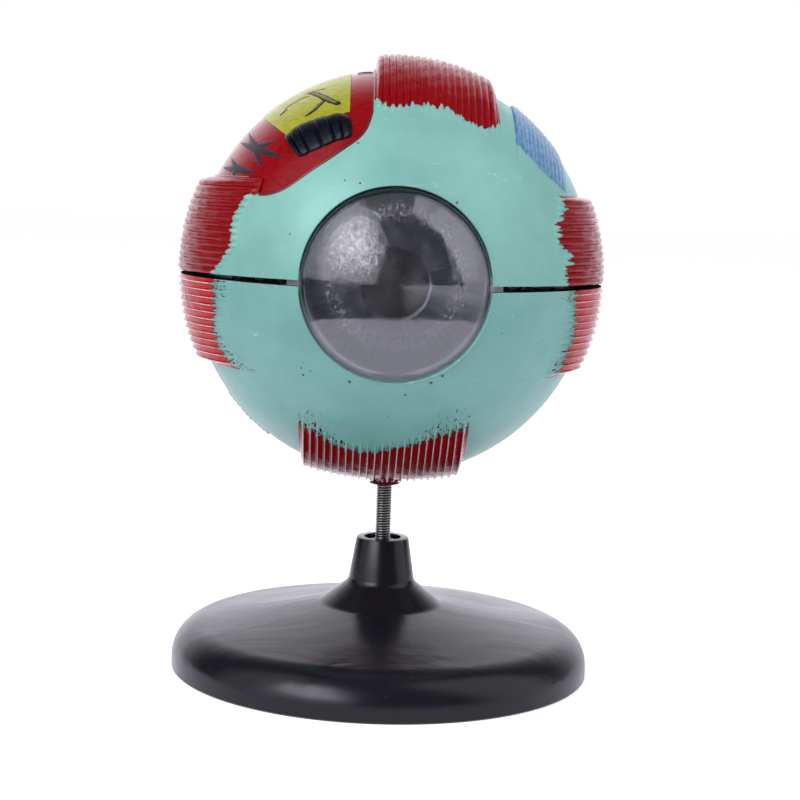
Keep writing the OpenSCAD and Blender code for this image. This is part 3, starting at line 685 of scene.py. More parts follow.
    # the red dried with a weaker mirror than the teal, so it is a shader of its own
    teal_side = add(tree, "ShaderNodeBsdfPrincipled", {
        "Base Color": colour, "Roughness": less, "IOR": 1.5, "Specular IOR Level": 0.4, "Normal": bump})
    red_side = add(tree, "ShaderNodeBsdfPrincipled", {
        "Base Color": colour, "Roughness": less, "IOR": 1.5, "Specular IOR Level": 0.14, "Normal": bump})
    dull = add(tree, "ShaderNodeMath", {0: coats["red"], 1: rim_gap_shade}, operation="MAXIMUM")
    shader = add(tree, "ShaderNodeMixShader", {0: dull, 1: teal_side, 2: red_side})
    finish_material(tree, shader)
    print("material", name, "with", len(tree.nodes), "nodes")
    return material


pvc = {}
for shell in ("upper", "lower"):
    pvc[shell] = painted_pvc(
        "pvc_moulded_enamelled_" + shell, shell,
        [s for s in PADS.values() if s["shell"] == shell],
        [s for s in OBLIQUES.values() if s["shell"] == shell])


# %% Pads and shells
for name, spec in {**PADS, **OBLIQUES}.items():
    piece = skin(name + "_relief", pad_grid(name, spec), sharp=60)
    fit(piece, spec["shell"] + "_globe", "oblique_blue" if name in OBLIQUES else "muscle_red",
        pvc[spec["shell"]], name)


def recoat(node, material):
    """Gives a CAD node a better material and leaves its shape alone."""
    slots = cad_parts[node].material_slots
    for slot in slots:
        slot.material = material
    print("coated", node)


recoat("sclera_upper", pvc["upper"])
recoat("sclera_lower", pvc["lower"])

# %% [markdown]
# ## Stand
# The foot is black ABS, injection moulded: smooth, with a satin skin, faint flow lines from
# the gate in the middle, and rubbed marks on the rim. ABS has an IOR of 1.53 and mirrors a
# white backdrop softly at a low angle, which is what shows its shape. The foot is turned
# anew from one section, because its neck spreads into the plate in a plain conical skirt.

# %% Black ABS
abs_black, tree, place = new_material("abs_moulded_black")
local = add(tree, "ShaderNodeVectorMath", {0: place, "Scale": 1000.0}, operation="SCALE")
grain = add(tree, "ShaderNodeTexNoise", {"Vector": local, "Scale": 2.5, "Detail": 3.0, "Roughness": 0.6})
flow = add(tree, "ShaderNodeVectorMath", {0: local, 1: (0.02, 0.035, 0.05)}, operation="MULTIPLY")
flow = add(tree, "ShaderNodeTexNoise", {"Vector": flow, "Scale": 1.0, "Detail": 5.0, "Roughness": 0.5,
    "Distortion": 0.8})
rub = add(tree, "ShaderNodeVectorMath", {0: local, 1: (0.16, 0.16, 0.6)}, operation="MULTIPLY")
rub = add(tree, "ShaderNodeTexNoise", {"Vector": rub, "Scale": 1.0, "Detail": 8.0, "Roughness": 0.7})
rub = add(tree, "ShaderNodeMapRange", {0: rub, 1: 0.63, 2: 0.75, 4: 0.4})
tone = add(tree, "ShaderNodeMix", {0: flow, 6: srgb("#131318"), 7: srgb("#1e1e25")},
    data_type="RGBA").node.outputs[2]
tone = add(tree, "ShaderNodeMix", {0: rub, 6: tone, 7: srgb("#4a4a50")}, data_type="RGBA").node.outputs[2]
rough = add(tree, "ShaderNodeMapRange", {0: flow, 1: 0.3, 2: 0.7, 3: 0.18, 4: 0.3})
rough = add(tree, "ShaderNodeMath", {0: rub, 1: 0.3, 2: rough}, operation="MULTIPLY_ADD")
bump = add(tree, "ShaderNodeBump", {"Height": flow, "Strength": 0.6, "Distance": 0.0008})
bump = add(tree, "ShaderNodeBump", {"Height": grain, "Strength": 0.3, "Distance": 0.00006, "Normal": bump})
finish_material(tree, add(tree, "ShaderNodeBsdfPrincipled", {
    "Base Color": tone, "Roughness": rough, "IOR": 1.53, "Specular IOR Level": 0.22, "Normal": bump}))


# %% Foot as one turned section
def bend(before, corner, after, radius, steps=12):
    """Points of a round of the given radius at a corner between two straight lines."""
    before, corner, after = (np.array(v, float) for v in (before, corner, after))
    u, v = before - corner, after - corner
    u, v = u / np.linalg.norm(u), v / np.linalg.norm(v)
    half = math.acos(float(u @ v)) / 2
    centre = corner + (u + v) / np.linalg.norm(u + v) * radius / math.sin(half)
    first = corner + u * radius / math.tan(half) - centre
    last = corner + v * radius / math.tan(half) - centre
    sweep = math.pi - 2 * half
    t = np.linspace(0, 1, steps)[:, None]
    return centre + (np.sin((1 - t) * sweep) * first + np.sin(t * sweep) * last) / math.sin(sweep)


FOOT_R, RIM_Z, NECK_R, NECK_Z = 79.4, 15.1, 10.0, 50.5
SKIRT, SKIRT_TOP = (23.4, 25.27), (12.6, 33.6)
foot = np.concatenate([
    [[3.06, 14], [12, 14], [12, 24], [13.85, 24]],
    bend((13.85, 24), (FOOT_R - 3, 12.1), (FOOT_R - 3, 0), 10.0),
    [[FOOT_R - 3, 0], [FOOT_R - 0.6, 0], [FOOT_R, 0.6]],
    bend((FOOT_R, 0), (FOOT_R, RIM_Z), SKIRT, 13.0),
    bend((FOOT_R, RIM_Z), SKIRT, SKIRT_TOP, 5.0),
    bend(SKIRT, SKIRT_TOP, (NECK_R, NECK_Z), 4.0),
    [[NECK_R, NECK_Z - 0.6], [NECK_R - 0.18, NECK_Z - 0.18], [NECK_R - 0.6, NECK_Z], [7.0, NECK_Z],
        [7.0, 42.5], [3.06, 42.5]],
])
fit(skin("stand_foot", turn(foot, 240), wrap_rows=True, sharp=32), "stand", "stand_black", abs_black,
    "stand_base")

# %% [markdown]
# ## Threaded rod and its nuts
# The rod is taken as M6 steel, thread rolled and zinc plated; the photograph's thread fits
# a 1/4 inch rod about as well. The CAD draws the thread as rings; here
# it is a true helix with a 1 mm lead: the height of the thread depends on the angle as well
# as on the place along the rod. Zinc is a metal, so it keeps the default IOR, and its dull
# grey comes from a roughness near 0.4.

# %% Zinc plated steel
steel, tree, place = new_material("steel_zinc_plated")
local = add(tree, "ShaderNodeVectorMath", {0: place, "Scale": 1000.0}, operation="SCALE")
blotch = add(tree, "ShaderNodeTexNoise", {"Vector": local, "Scale": 0.8, "Detail": 5.0, "Roughness": 0.6})
tone = add(tree, "ShaderNodeMapRange", {0: blotch, 1: 0.3, 2: 0.7})
tone = add(tree, "ShaderNodeMix", {0: tone, 6: srgb("#a6a5a2"), 7: srgb("#787775")},
    data_type="RGBA").node.outputs[2]
# painted shade: the thread's grooves, which are nearer to the axis than 2.75 mm, are painted dark
around_axis = add(tree, "ShaderNodeVectorMath", {0: local, 1: (1, 1, 0)}, operation="MULTIPLY")
reach = add(tree, "ShaderNodeVectorMath", {0: around_axis}, operation="LENGTH").node.outputs["Value"]
groove_shade = add(tree, "ShaderNodeMapRange", {0: reach, 1: 2.85, 2: 2.5, 3: 0.0, 4: 0.85})
tone = add(tree, "ShaderNodeMix", {0: groove_shade, 6: tone, 7: srgb("#242322")}, data_type="RGBA").node.outputs[2]
rough = add(tree, "ShaderNodeMapRange", {0: blotch, 1: 0.3, 2: 0.7, 3: 0.25, 4: 0.45})
scratch = add(tree, "ShaderNodeTexNoise", {"Vector": local, "Scale": 6.0, "Detail": 2.0})
bump = add(tree, "ShaderNodeBump", {"Height": scratch, "Strength": 0.3, "Distance": 0.00003})
finish_material(tree, add(tree, "ShaderNodeBsdfPrincipled", {
    "Base Color": tone, "Metallic": 1.0, "Roughness": rough, "Normal": bump}))

rod_low, rod_high = [corner.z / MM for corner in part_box("threaded_rod")]
heights = np.arange(rod_low, rod_high, 0.09)
around = np.linspace(0, 2 * math.pi, 40, endpoint=False)
turns = (heights[:, None] / 1.0 - around[None, :] / (2 * math.pi)) % 1
flank = np.clip((0.5 - np.abs(turns - 0.5)) / 0.36, 0, 1)
flank = flank * flank * (3 - 2 * flank)
taper = np.clip(np.minimum(heights - rod_low, rod_high - heights) / 0.7, 0, 1)[:, None]
radius = 2.40 + 0.55 * flank * taper
rod_points = np.stack([radius * np.cos(around), radius * np.sin(around), heights[:, None] + 0 * around],
    axis=-1)
axis_low, axis_high = np.zeros((1, 40, 3)), np.zeros((1, 40, 3))
axis_low[..., 2], axis_high[..., 2] = heights[0], heights[-1]
rod_points = np.concatenate([axis_low, rod_points, axis_high])
fit(skin("threaded_rod_helix", rod_points, sharp=70), "lower_globe", "zinc_steel", steel, "threaded_rod")
for node in ("upper_washer", "upper_nut", "lower_washer", "lower_nut"):
    recoat(node, steel)

# %% [markdown]
# The insert in the globe and the two locating pins are turned brass, cut on a lathe: a warm
# metal with fine rings.

# %% Turned brass
brass, tree, place = new_material("brass_turned")
local = add(tree, "ShaderNodeVectorMath", {0: place, "Scale": 1000.0}, operation="SCALE")
rings = add(tree, "ShaderNodeVectorMath", {0: local, 1: (0.2, 0.2, 5.0)}, operation="MULTIPLY")
rings = add(tree, "ShaderNodeTexNoise", {"Vector": rings, "Scale": 1.0, "Detail": 2.0})
tone = add(tree, "ShaderNodeMix", {0: rings, 6: srgb("#c9a45a"), 7: srgb("#a07c3a")},
    data_type="RGBA").node.outputs[2]
rough = add(tree, "ShaderNodeMapRange", {0: rings, 3: 0.22, 4: 0.4})
finish_material(tree, add(tree, "ShaderNodeBsdfPrincipled", {
    "Base Color": tone, "Metallic": 1.0, "Roughness": rough}))
for node in ("rod_insert", "locating_pins"):
    recoat(node, brass)

# %% [markdown]
# ## Collar
# Where the rod enters the ball, the moulding has a small flared ring with fins that fan out
# into the muscle above. Ring and fins are one lathe form whose radius swells at each fin.

# %% Collar with its fins
fins = 16
around = np.linspace(0, 2 * math.pi, fins * 12, endpoint=False)
profile = np.array([[3.05, -79.35], [4.6, -79.4], [5.6, -79.1], [5.85, -78.9], [5.6, -78.75], [4.6, -78.8],
    [4.3, -78.5],
                    [4.6, -78.1], [5.2, -77.6], [6.0, -77.1], [6.9, -76.6], [7.4, -76.0], [3.05, -75.4]])
swell = np.array([0, 0, 0, 0, 0, 0.1, .4, .7, .8, .8, .7, .5, 0])
wave = np.maximum(np.cos(fins * around), 0) ** 1.5
radius = profile[:, 0][:, None] + swell[:, None] * wave[None, :]
collar = np.stack([radius * np.cos(around), radius * np.sin(around),
                   CENTRE["lower"] + profile[:, 1][:, None] + 0 * radius], axis=-1)
red_enamel, tree, place = new_material("enamel_red_brushed")
local = add(tree, "ShaderNodeVectorMath", {0: place, "Scale": 1000.0}, operation="SCALE")
strokes = add(tree, "ShaderNodeTexNoise", {"Vector": local, "Scale": 1.3, "Detail": 4.0, "Roughness": 0.6})
tone = add(tree, "ShaderNodeMapRange", {0: strokes, 1: 0.3, 2: 0.7})
tone = add(tree, "ShaderNodeMix", {0: tone, 6: srgb("#96101b"), 7: srgb("#62090f")},
    data_type="RGBA").node.outputs[2]
# painted highlight: the gaps between the fins above the ring are painted pale
split = tree.nodes.new("ShaderNodeSeparateXYZ")
tree.links.new(local, split.inputs[0])
spoke = add(tree, "ShaderNodeMath", {0: split.outputs[1], 1: split.outputs[0]}, operation="ARCTAN2")
spoke = add(tree, "ShaderNodeMath", {0: spoke, 1: float(fins)}, operation="MULTIPLY")
spoke = add(tree, "ShaderNodeMath", {0: spoke}, operation="COSINE")
fin_gap_highlight = add(tree, "ShaderNodeMapRange", {0: spoke, 1: -0.1, 2: -0.5})
above_ring = add(tree, "ShaderNodeMapRange", {0: split.outputs[2], 1: CENTRE["lower"] - 78.5,
    2: CENTRE["lower"] - 78.1})
fin_gap_highlight = add(tree, "ShaderNodeMath", {0: fin_gap_highlight, 1: above_ring}, operation="MULTIPLY")
tone = add(tree, "ShaderNodeMix", {0: fin_gap_highlight, 6: tone, 7: srgb("#e6cfd2")}, data_type="RGBA").node.outputs[2]
rough = add(tree, "ShaderNodeMapRange", {0: strokes, 3: 0.25, 4: 0.42})
bump = add(tree, "ShaderNodeBump", {"Height": strokes, "Strength": 0.5, "Distance": 0.0002})
finish_material(tree, add(tree, "ShaderNodeBsdfPrincipled", {
    "Base Color": tone, "Roughness": rough, "IOR": 1.5, "Normal": bump}))
fit(skin("rod_collar_fins", collar, wrap_rows=True, sharp=60), "lower_globe", "muscle_red", red_enamel,
    "rod_collar")

# %% [markdown]
# ## Cutaway
# In the upper shell a patch of the teal is left out to show the layers below: red choroid,
# yellow retina and a row of dark lumps. They are brushed enamel over the moulded step.

# %% Enamels of the cutaway
window_red, tree, place = new_material("enamel_choroid_red")
local = add(tree, "ShaderNodeVectorMath", {0: place, "Scale": 1000.0}, operation="SCALE")
strokes = add(tree, "ShaderNodeVectorMath", {0: local, 1: (0.25, 0.5, 0.8)}, operation="MULTIPLY")
strokes = add(tree, "ShaderNodeTexNoise", {"Vector": strokes, "Scale": 1.0, "Detail": 4.0, "Roughness": 0.6})
tone = add(tree, "ShaderNodeMapRange", {0: strokes, 1: 0.3, 2: 0.7})
tone = add(tree, "ShaderNodeMix", {0: tone, 6: srgb("#a00b17"), 7: srgb("#7a0710")},
    data_type="RGBA").node.outputs[2]
rough = add(tree, "ShaderNodeMapRange", {0: strokes, 3: 0.12, 4: 0.26})
bump = add(tree, "ShaderNodeBump", {"Height": strokes, "Strength": 0.35, "Distance": 0.0003})
finish_material(tree, add(tree, "ShaderNodeBsdfPrincipled", {
    "Base Color": tone, "Roughness": rough, "IOR": 1.5, "Specular IOR Level": 0.2, "Normal": bump}))
recoat("choroid_panel", window_red)

yellow, tree, place = new_material("enamel_retina_yellow")
local = add(tree, "ShaderNodeVectorMath", {0: place, "Scale": 1000.0}, operation="SCALE")
strokes = add(tree, "ShaderNodeVectorMath", {0: local, 1: (0.3, 0.3, 0.9)}, operation="MULTIPLY")
strokes = add(tree, "ShaderNodeTexNoise", {"Vector": strokes, "Scale": 1.0, "Detail": 5.0, "Roughness": 0.6})
tone = add(tree, "ShaderNodeMapRange", {0: strokes, 1: 0.3, 2: 0.7})
tone = add(tree, "ShaderNodeMix", {0: tone, 6: srgb("#b0b228"), 7: srgb("#92941a")},
    data_type="RGBA").node.outputs[2]
rough = add(tree, "ShaderNodeMapRange", {0: strokes, 3: 0.22, 4: 0.36})
bump = add(tree, "ShaderNodeBump", {"Height": strokes, "Strength": 0.15, "Distance": 0.0002})
finish_material(tree, add(tree, "ShaderNodeBsdfPrincipled", {
    "Base Color": tone, "Roughness": rough, "IOR": 1.5, "Specular IOR Level": 0.3, "Normal": bump}))
recoat("retina_panel", yellow)

navy, tree, place = new_material("enamel_navy_brushed")
local = add(tree, "ShaderNodeVectorMath", {0: place, "Scale": 1000.0}, operation="SCALE")
strokes = add(tree, "ShaderNodeTexNoise", {"Vector": local, "Scale": 1.1, "Detail": 4.0, "Roughness": 0.6})
tone = add(tree, "ShaderNodeMapRange", {0: strokes, 1: 0.3, 2: 0.7})
tone = add(tree, "ShaderNodeMix", {0: tone, 6: srgb("#080a12"), 7: srgb("#131723")},
    data_type="RGBA").node.outputs[2]
rough = add(tree, "ShaderNodeMapRange", {0: strokes, 3: 0.16, 4: 0.3})
bump = add(tree, "ShaderNodeBump", {"Height": strokes, "Strength": 0.3, "Distance": 0.0003})
finish_material(tree, add(tree, "ShaderNodeBsdfPrincipled", {
    "Base Color": tone, "Roughness": rough, "IOR": 1.5, "Specular IOR Level": 0.1, "Normal": bump}))

# %% [markdown]
# The dark lumps are one moulded bar with six lobes side by side. A closed bar is lofted along
# a path on the ball: at each station a half-round section whose height dips between lobes.

# %% Row of dark lumps
RECESS = 0.8


def on_ball(x, z, radius):
    """Point of the upper ball that is seen at (x, z) from the front."""
    x, z = np.asarray(x, float), np.asarray(z, float)
    return np.stack([x, -np.sqrt(np.maximum(radius ** 2 - x ** 2 - z ** 2, 1.0)), z], axis=-1)


def spline(points, count):
    """Even points on a smooth curve through the given ones."""
    p = np.array(points, float)
    p = np.concatenate([[2 * p[0] - p[1]], p, [2 * p[-1] - p[-2]]])
    t = np.linspace(0, len(p) - 3 - 1e-9, count)
    i = t.astype(int)
    f = (t - i)[:, None]
    a, b, c, d = p[i], p[i + 1], p[i + 2], p[i + 3]
    return 0.5 * (2 * b + (c - a) * f + (2 * a - 5 * b + 4 * c - d) * f ** 2
                  + (3 * b - a - 3 * c + d) * f ** 3)


def bar_on_ball(centre_line, across, height, radius, sink=0.3, sections=14):
    """Closed half-round bar along a path on the ball. across is its half width as a vector."""
    outward = centre_line / np.linalg.norm(centre_line, axis=1)[:, None]
    turn_angle = np.linspace(0, 2 * math.pi, sections, endpoint=False)
    u, v = np.cos(turn_angle), np.maximum(np.sin(turn_angle), 0)
    raw = centre_line[:, None, :] + across[:, None, :] * u[None, :, None]
    raw = raw / np.linalg.norm(raw, axis=2)[:, :, None] * radius
    lift = v[None, :, None] * np.asarray(height)[:, None, None] - sink * (v[None, :, None] <= 0)
    raw = raw + outward[:, None, :] * lift
    raw[..., 2] += CENTRE["upper"]
    return raw


# upper and lower ends of the lobes, as seen from the front
s = np.linspace(0, 1, 180)
lump_r = GLOBE_R - RECESS
tops = on_ball(*spline([(-40.4, 47.4), (-38.4, 49.2), (-35.8, 51.6), (-30.2, 54.0), (-25.4, 55.4),
    (-21.3, 56.5), (-16.9, 55.2)], 180).T, lump_r)
feet = on_ball(*spline([(-35.2, 41.2), (-33.6, 41.2), (-30.8, 42.6), (-26.2, 44.8), (-21.8, 46.8),
    (-19.2, 47.6), (-16.1, 48.6)], 180).T, lump_r)
lobe = np.minimum((s * 6).astype(int), 5)
swell = np.sqrt(np.clip(1 - np.abs(2 * (s * 6 % 1) - 1) ** 4, 0, 1))
tall = (0.5 + np.array([1.2, 1.35, 1.15, 1.4, 1.25, 1.15])[lobe] * swell) * (1 + 0.05 * np.sin(41 * s))
ends = np.sqrt(np.clip(1 - np.abs(2 * s - 1) ** 30, 0, 1))
across = (feet - tops) / 2 * ((0.98 + 0.05 * swell) * ends)[:, None]
lumps = bar_on_ball((tops + feet) / 2, across, tall * ends, lump_r, 0.4, 36)
fit(skin("pigment_ridge_lumps", lumps, sharp=80), "upper_globe", "pigment_navy", navy, "pigment_ridge")

# %% [markdown]
# Vessels, nerve stars and the dark line along the step are single brush strokes. Each is a
# thin bar of paint, 0.12 to 0.25 mm proud, that tapers to a point where the brush lifted.

# %% Brush strokes
black, tree, place = new_material("enamel_black_brushed")
local = add(tree, "ShaderNodeVectorMath", {0: place, "Scale": 1000.0}, operation="SCALE")
strokes = add(tree, "ShaderNodeTexNoise", {"Vector": local, "Scale": 1.6, "Detail": 3.0})
tone = add(tree, "ShaderNodeMix", {0: strokes, 6: srgb("#0c0d10"), 7: srgb("#22252c")},
    data_type="RGBA").node.outputs[2]
rough = add(tree, "ShaderNodeMapRange", {0: strokes, 3: 0.25, 4: 0.5})
finish_material(tree, add(tree, "ShaderNodeBsdfPrincipled", {
    "Base Color": tone, "Roughness": rough, "IOR": 1.5, "Specular IOR Level": 0.2}))
slate, tree, place = new_material("enamel_slate_brushed")
local = add(tree, "ShaderNodeVectorMath", {0: place, "Scale": 1000.0}, operation="SCALE")
strokes = add(tree, "ShaderNodeTexNoise", {"Vector": local, "Scale": 1.2, "Detail": 4.0})
tone = add(tree, "ShaderNodeMix", {0: strokes, 6: srgb("#12161f"), 7: srgb("#2c313b")},
    data_type="RGBA").node.outputs[2]
dry = add(tree, "ShaderNodeVectorMath", {0: local, 1: (1.1, 1.1, 3.2)}, operation="MULTIPLY")
dry = add(tree, "ShaderNodeTexNoise", {"Vector": dry, "Scale": 1.0, "Detail": 3.0, "Roughness": 0.7})
dry = add(tree, "ShaderNodeMapRange", {0: dry, 1: 0.56, 2: 0.66, 4: 0.8})
tone = add(tree, "ShaderNodeMix", {0: dry, 6: tone, 7: srgb("#8c1420")}, data_type="RGBA").node.outputs[2]
rough = add(tree, "ShaderNodeMapRange", {0: strokes, 3: 0.3, 4: 0.5})
finish_material(tree, add(tree, "ShaderNodeBsdfPrincipled", {
    "Base Color": tone, "Roughness": rough, "IOR": 1.5, "Specular IOR Level": 0.2}))
olive, tree, place = new_material("enamel_olive_brushed")
local = add(tree, "ShaderNodeVectorMath", {0: place, "Scale": 1000.0}, operation="SCALE")
strokes = add(tree, "ShaderNodeTexNoise", {"Vector": local, "Scale": 1.2, "Detail": 4.0})
tone = add(tree, "ShaderNodeMix", {0: strokes, 6: srgb("#77743a"), 7: srgb("#5b5a33")},
    data_type="RGBA").node.outputs[2]
rough = add(tree, "ShaderNodeMapRange", {0: strokes, 3: 0.3, 4: 0.5})
finish_material(tree, add(tree, "ShaderNodeBsdfPrincipled", {"Base Color": tone, "Roughness": rough,
    "IOR": 1.5}))
maroon, tree, place = new_material("enamel_maroon_brushed")
local = add(tree, "ShaderNodeVectorMath", {0: place, "Scale": 1000.0}, operation="SCALE")
strokes = add(tree, "ShaderNodeTexNoise", {"Vector": local, "Scale": 1.2, "Detail": 4.0})
tone = add(tree, "ShaderNodeMix", {0: strokes, 6: srgb("#5c0a14"), 7: srgb("#80101d")},
    data_type="RGBA").node.outputs[2]
rough = add(tree, "ShaderNodeMapRange", {0: strokes, 3: 0.25, 4: 0.4})
finish_material(tree, add(tree, "ShaderNodeBsdfPrincipled", {"Base Color": tone, "Roughness": rough,
    "IOR": 1.5}))


def stroke(name, points, width, material, radius, body="upper_globe", blunt=False, height=0.16):
    line = spline(points, max(16, 8 * len(points)))
    s = np.linspace(0, 1, len(line))
    wide = np.interp(s, np.linspace(0, 1, len(width)), width) / 2
    wide = wide * (1 + 0.12 * ripple(s * 30, 0 * s, len(name)))
    tip = np.sqrt(np.clip(1 - np.abs(2 * s - 1) ** (24 if blunt else 10), 0, 1))
    path = on_ball(line[:, 0], line[:, 1], radius)
    sideways = np.cross(np.gradient(path, axis=0), path)
    sideways /= np.linalg.norm(sideways, axis=1)[:, None]
    bar = bar_on_ball(path, sideways * (wide * tip)[:, None], height * tip, radius, 0.2, 12)
    return fit(skin(name, bar, sharp=80), body, "pigment_navy", material)


yellow_r = GLOBE_R - RECESS + 0.3
red_r = GLOBE_R - RECESS
# a vessel and its branch on the yellow: black underneath, olive on top
vessel = [(-32.6, 64.3), (-29.9, 63.7), (-26.5, 62.1), (-23.9, 60.9), (-21.0, 59.9)]
branch = [(-26.1, 61.8), (-28.2, 59.8), (-29.8, 58.0), (-31.5, 56.5), (-33.5, 55.1)]
stroke("vessel_outline", vessel, [1.7, 2.6, 2.7, 2.7, 2.0], black, yellow_r, blunt=True, height=0.12)
stroke("branch_outline", branch, [2.4, 2.2, 1.9, 1.5, 0.7], black, yellow_r, height=0.12)
stroke("vessel_band", [(-31.8, 64.1), (-29.9, 63.6), (-26.5, 62.1), (-23.9, 60.9), (-22.2, 60.3)],
       [0.8, 1.5, 1.6, 1.5, 0.9], olive, yellow_r, blunt=True, height=0.2)
stroke("branch_band", [(-27.0, 61.0), (-28.4, 59.6), (-29.8, 58.1), (-31.2, 56.9)], [1.2, 1.1, 0.9, 0.3],
    olive, yellow_r, height=0.2)
stroke("vessel_thin_upper", [(-34.0, 63.6), (-31.4, 64.6), (-28.9, 65.3), (-26.4, 65.8)],
    [0.3, 0.6, 0.5, 0.3], olive, yellow_r)
stroke("vessel_thin_side", [(-32.0, 63.1), (-35.3, 61.8), (-38.8, 59.7), (-41.3, 57.9)],
    [0.7, 0.6, 0.5, 0.3], olive, yellow_r)
stroke("vessel_side_dash", [(-40.0, 58.1), (-41.3, 56.8), (-42.6, 55.5)], [0.4, 0.9, 0.5], black, yellow_r)
# two star-shaped vessels on the red: arms spread from a dark middle
stars = {
    "star_front": ((-51.3, 44.0), [(-54.4, 49.4), (-42.8, 46.6), (-39.6, 40.2), (-48.0, 36.6),
        (-57.4, 45.6)], 3.6),
    "star_rear": ((-58.0, 36.2), [(-50.2, 34.9), (-60.2, 40.0), (-59.7, 31.6), (-63.4, 36.4)], 3.6),
}
for name, (hub, tips, width) in stars.items():
    for k, tip_point in enumerate(tips):
        back = (hub[0] - 0.12 * (tip_point[0] - hub[0]), hub[1] - 0.12 * (tip_point[1] - hub[1]))
        bend = ((hub[0] + tip_point[0]) / 2 + 0.3, (hub[1] + tip_point[1]) / 2 - 0.2)
        stroke(f"{name}_{k}", [back, hub, bend, tip_point], [width, width, width * 0.6, 0.2], slate, red_r)
stroke("step_line", [(-9.5, 62), (-9.6, 57.4), (-12.7, 49.7), (-20.7, 43.3), (-30.3, 36.4), (-39.0, 30.0),
    (-46.2, 27.5), (-51.4, 28.7)],
       [0.7, 0.8, 1.1, 1.1, 1.0, 1.3, 1.9, 1.4], maroon, GLOBE_R - 0.45, height=0.25)
stroke("vessel_dash", [(-15.2, 72.3), (-12.5, 72.75), (-9.6, 72.8)], [0.5, 0.9, 0.8], black, yellow_r)

# %% [markdown]
# ## Inside of the globe
# The liners are moulded PVC in the choroid's brown-red, with a net of vessels painted
# on. The nerve stub is cream PVC. These show when the model is taken apart.

# %% Liner, nerve and fold materials
liner, tree, place = new_material("pvc_moulded_choroid")
local = add(tree, "ShaderNodeVectorMath", {0: place, "Scale": 1000.0}, operation="SCALE")
warp = add(tree, "ShaderNodeTexNoise", {"Vector": local, "Scale": 0.06, "Detail": 3.0})
bent = add(tree, "ShaderNodeVectorMath", {0: warp.node.outputs["Color"], "Scale": 14.0}, operation="SCALE")
bent = add(tree, "ShaderNodeVectorMath", {0: local, 1: bent}, operation="ADD")
net = tree.nodes.new("ShaderNodeTexVoronoi")
net.feature = "DISTANCE_TO_EDGE"
tree.links.new(bent, net.inputs["Vector"])
net.inputs["Scale"].default_value = 0.07
vein = add(tree, "ShaderNodeMapRange", {0: net.outputs["Distance"], 1: 0.05, 2: 0.025})
tone = add(tree, "ShaderNodeMix", {0: warp, 6: srgb("#4a1a18"), 7: srgb("#35110f")},
    data_type="RGBA").node.outputs[2]
tone = add(tree, "ShaderNodeMix", {0: vein, 6: tone, 7: srgb("#7c1c1c")}, data_type="RGBA").node.outputs[2]
bump = add(tree, "ShaderNodeBump", {"Height": vein, "Strength": 0.4, "Distance": 0.0003})
rough = add(tree, "ShaderNodeMapRange", {0: warp, 3: 0.4, 4: 0.6})
finish_material(tree, add(tree, "ShaderNodeBsdfPrincipled", {
    "Base Color": tone, "Roughness": rough, "IOR": 1.5, "Normal": bump}))
recoat("choroid_lower", liner)
recoat("choroid_upper", liner)

cream, tree, place = new_material("pvc_moulded_cream")
local = add(tree, "ShaderNodeVectorMath", {0: place, "Scale": 1000.0}, operation="SCALE")
fibre = add(tree, "ShaderNodeVectorMath", {0: local, 1: (1.4, 0.08, 1.4)}, operation="MULTIPLY")
fibre = add(tree, "ShaderNodeTexNoise", {"Vector": fibre, "Scale": 1.0, "Detail": 4.0, "Roughness": 0.6})
tone = add(tree, "ShaderNodeMapRange", {0: fibre, 1: 0.3, 2: 0.7})
tone = add(tree, "ShaderNodeMix", {0: tone, 6: srgb("#e3d7a4"), 7: srgb("#c6b678")},
    data_type="RGBA").node.outputs[2]
rough = add(tree, "ShaderNodeMapRange", {0: fibre, 3: 0.35, 4: 0.55})
bump = add(tree, "ShaderNodeBump", {"Height": fibre, "Strength": 0.6, "Distance": 0.0004})
finish_material(tree, add(tree, "ShaderNodeBsdfPrincipled", {
    "Base Color": tone, "Roughness": rough, "IOR": 1.5, "Normal": bump}))
recoat("optic_nerve_lower", cream)
recoat("optic_nerve_upper", cream)

folds, tree, place = new_material("pvc_moulded_umber")
local = add(tree, "ShaderNodeVectorMath", {0: place, "Scale": 1000.0}, operation="SCALE")
mottle = add(tree, "ShaderNodeTexNoise", {"Vector": local, "Scale": 0.6, "Detail": 5.0, "Roughness": 0.6})
tone = add(tree, "ShaderNodeMix", {0: mottle, 6: srgb("#3c2b26"), 7: srgb("#1f1614")},
    data_type="RGBA").node.outputs[2]
rough = add(tree, "ShaderNodeMapRange", {0: mottle, 3: 0.4, 4: 0.6})
finish_material(tree, add(tree, "ShaderNodeBsdfPrincipled", {"Base Color": tone, "Roughness": rough,
    "IOR": 1.5}))
recoat("ciliary_ring", folds)

# %% [markdown]
# ## Iris
# A dark PVC disc with raised fibres that run from the pupil to the rim, and a low ring a
# third of the way out. Turned like a lathe part, with the relief added by angle.

# %% Iris
iris_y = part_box("iris")[0].y / MM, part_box("iris")[1].y / MM
PUPIL_R, IRIS_R = 12.0, 40.0
steps = 240
around = np.linspace(0, 2 * math.pi, steps, endpoint=False)
radii = np.concatenate([[PUPIL_R, PUPIL_R + 1.0], np.linspace(PUPIL_R + 1.1, 33, 60),
    [38, IRIS_R - 0.3, IRIS_R, IRIS_R]])
share = np.clip((radii - PUPIL_R) / (33 - PUPIL_R), 0, 1)[:, None]
relief = 0.16 * ripple(around[None, :] * 31, share * 3, 2) + 0.12 * ripple(around[None, :] * 67, share * 5, 5)
relief = relief * np.sin(np.pi * share) ** 0.5 - 0.22 * np.exp(-((share - 0.3) / 0.06) ** 2)
front = np.full((len(radii), 1), iris_y[0] + 0.42)
front[0, 0] = iris_y[0] + 1.5
front[-1, 0] = iris_y[0] + 0.7
y = front + np.where((share > 0) & (share < 1), relief * 0.9, 0)
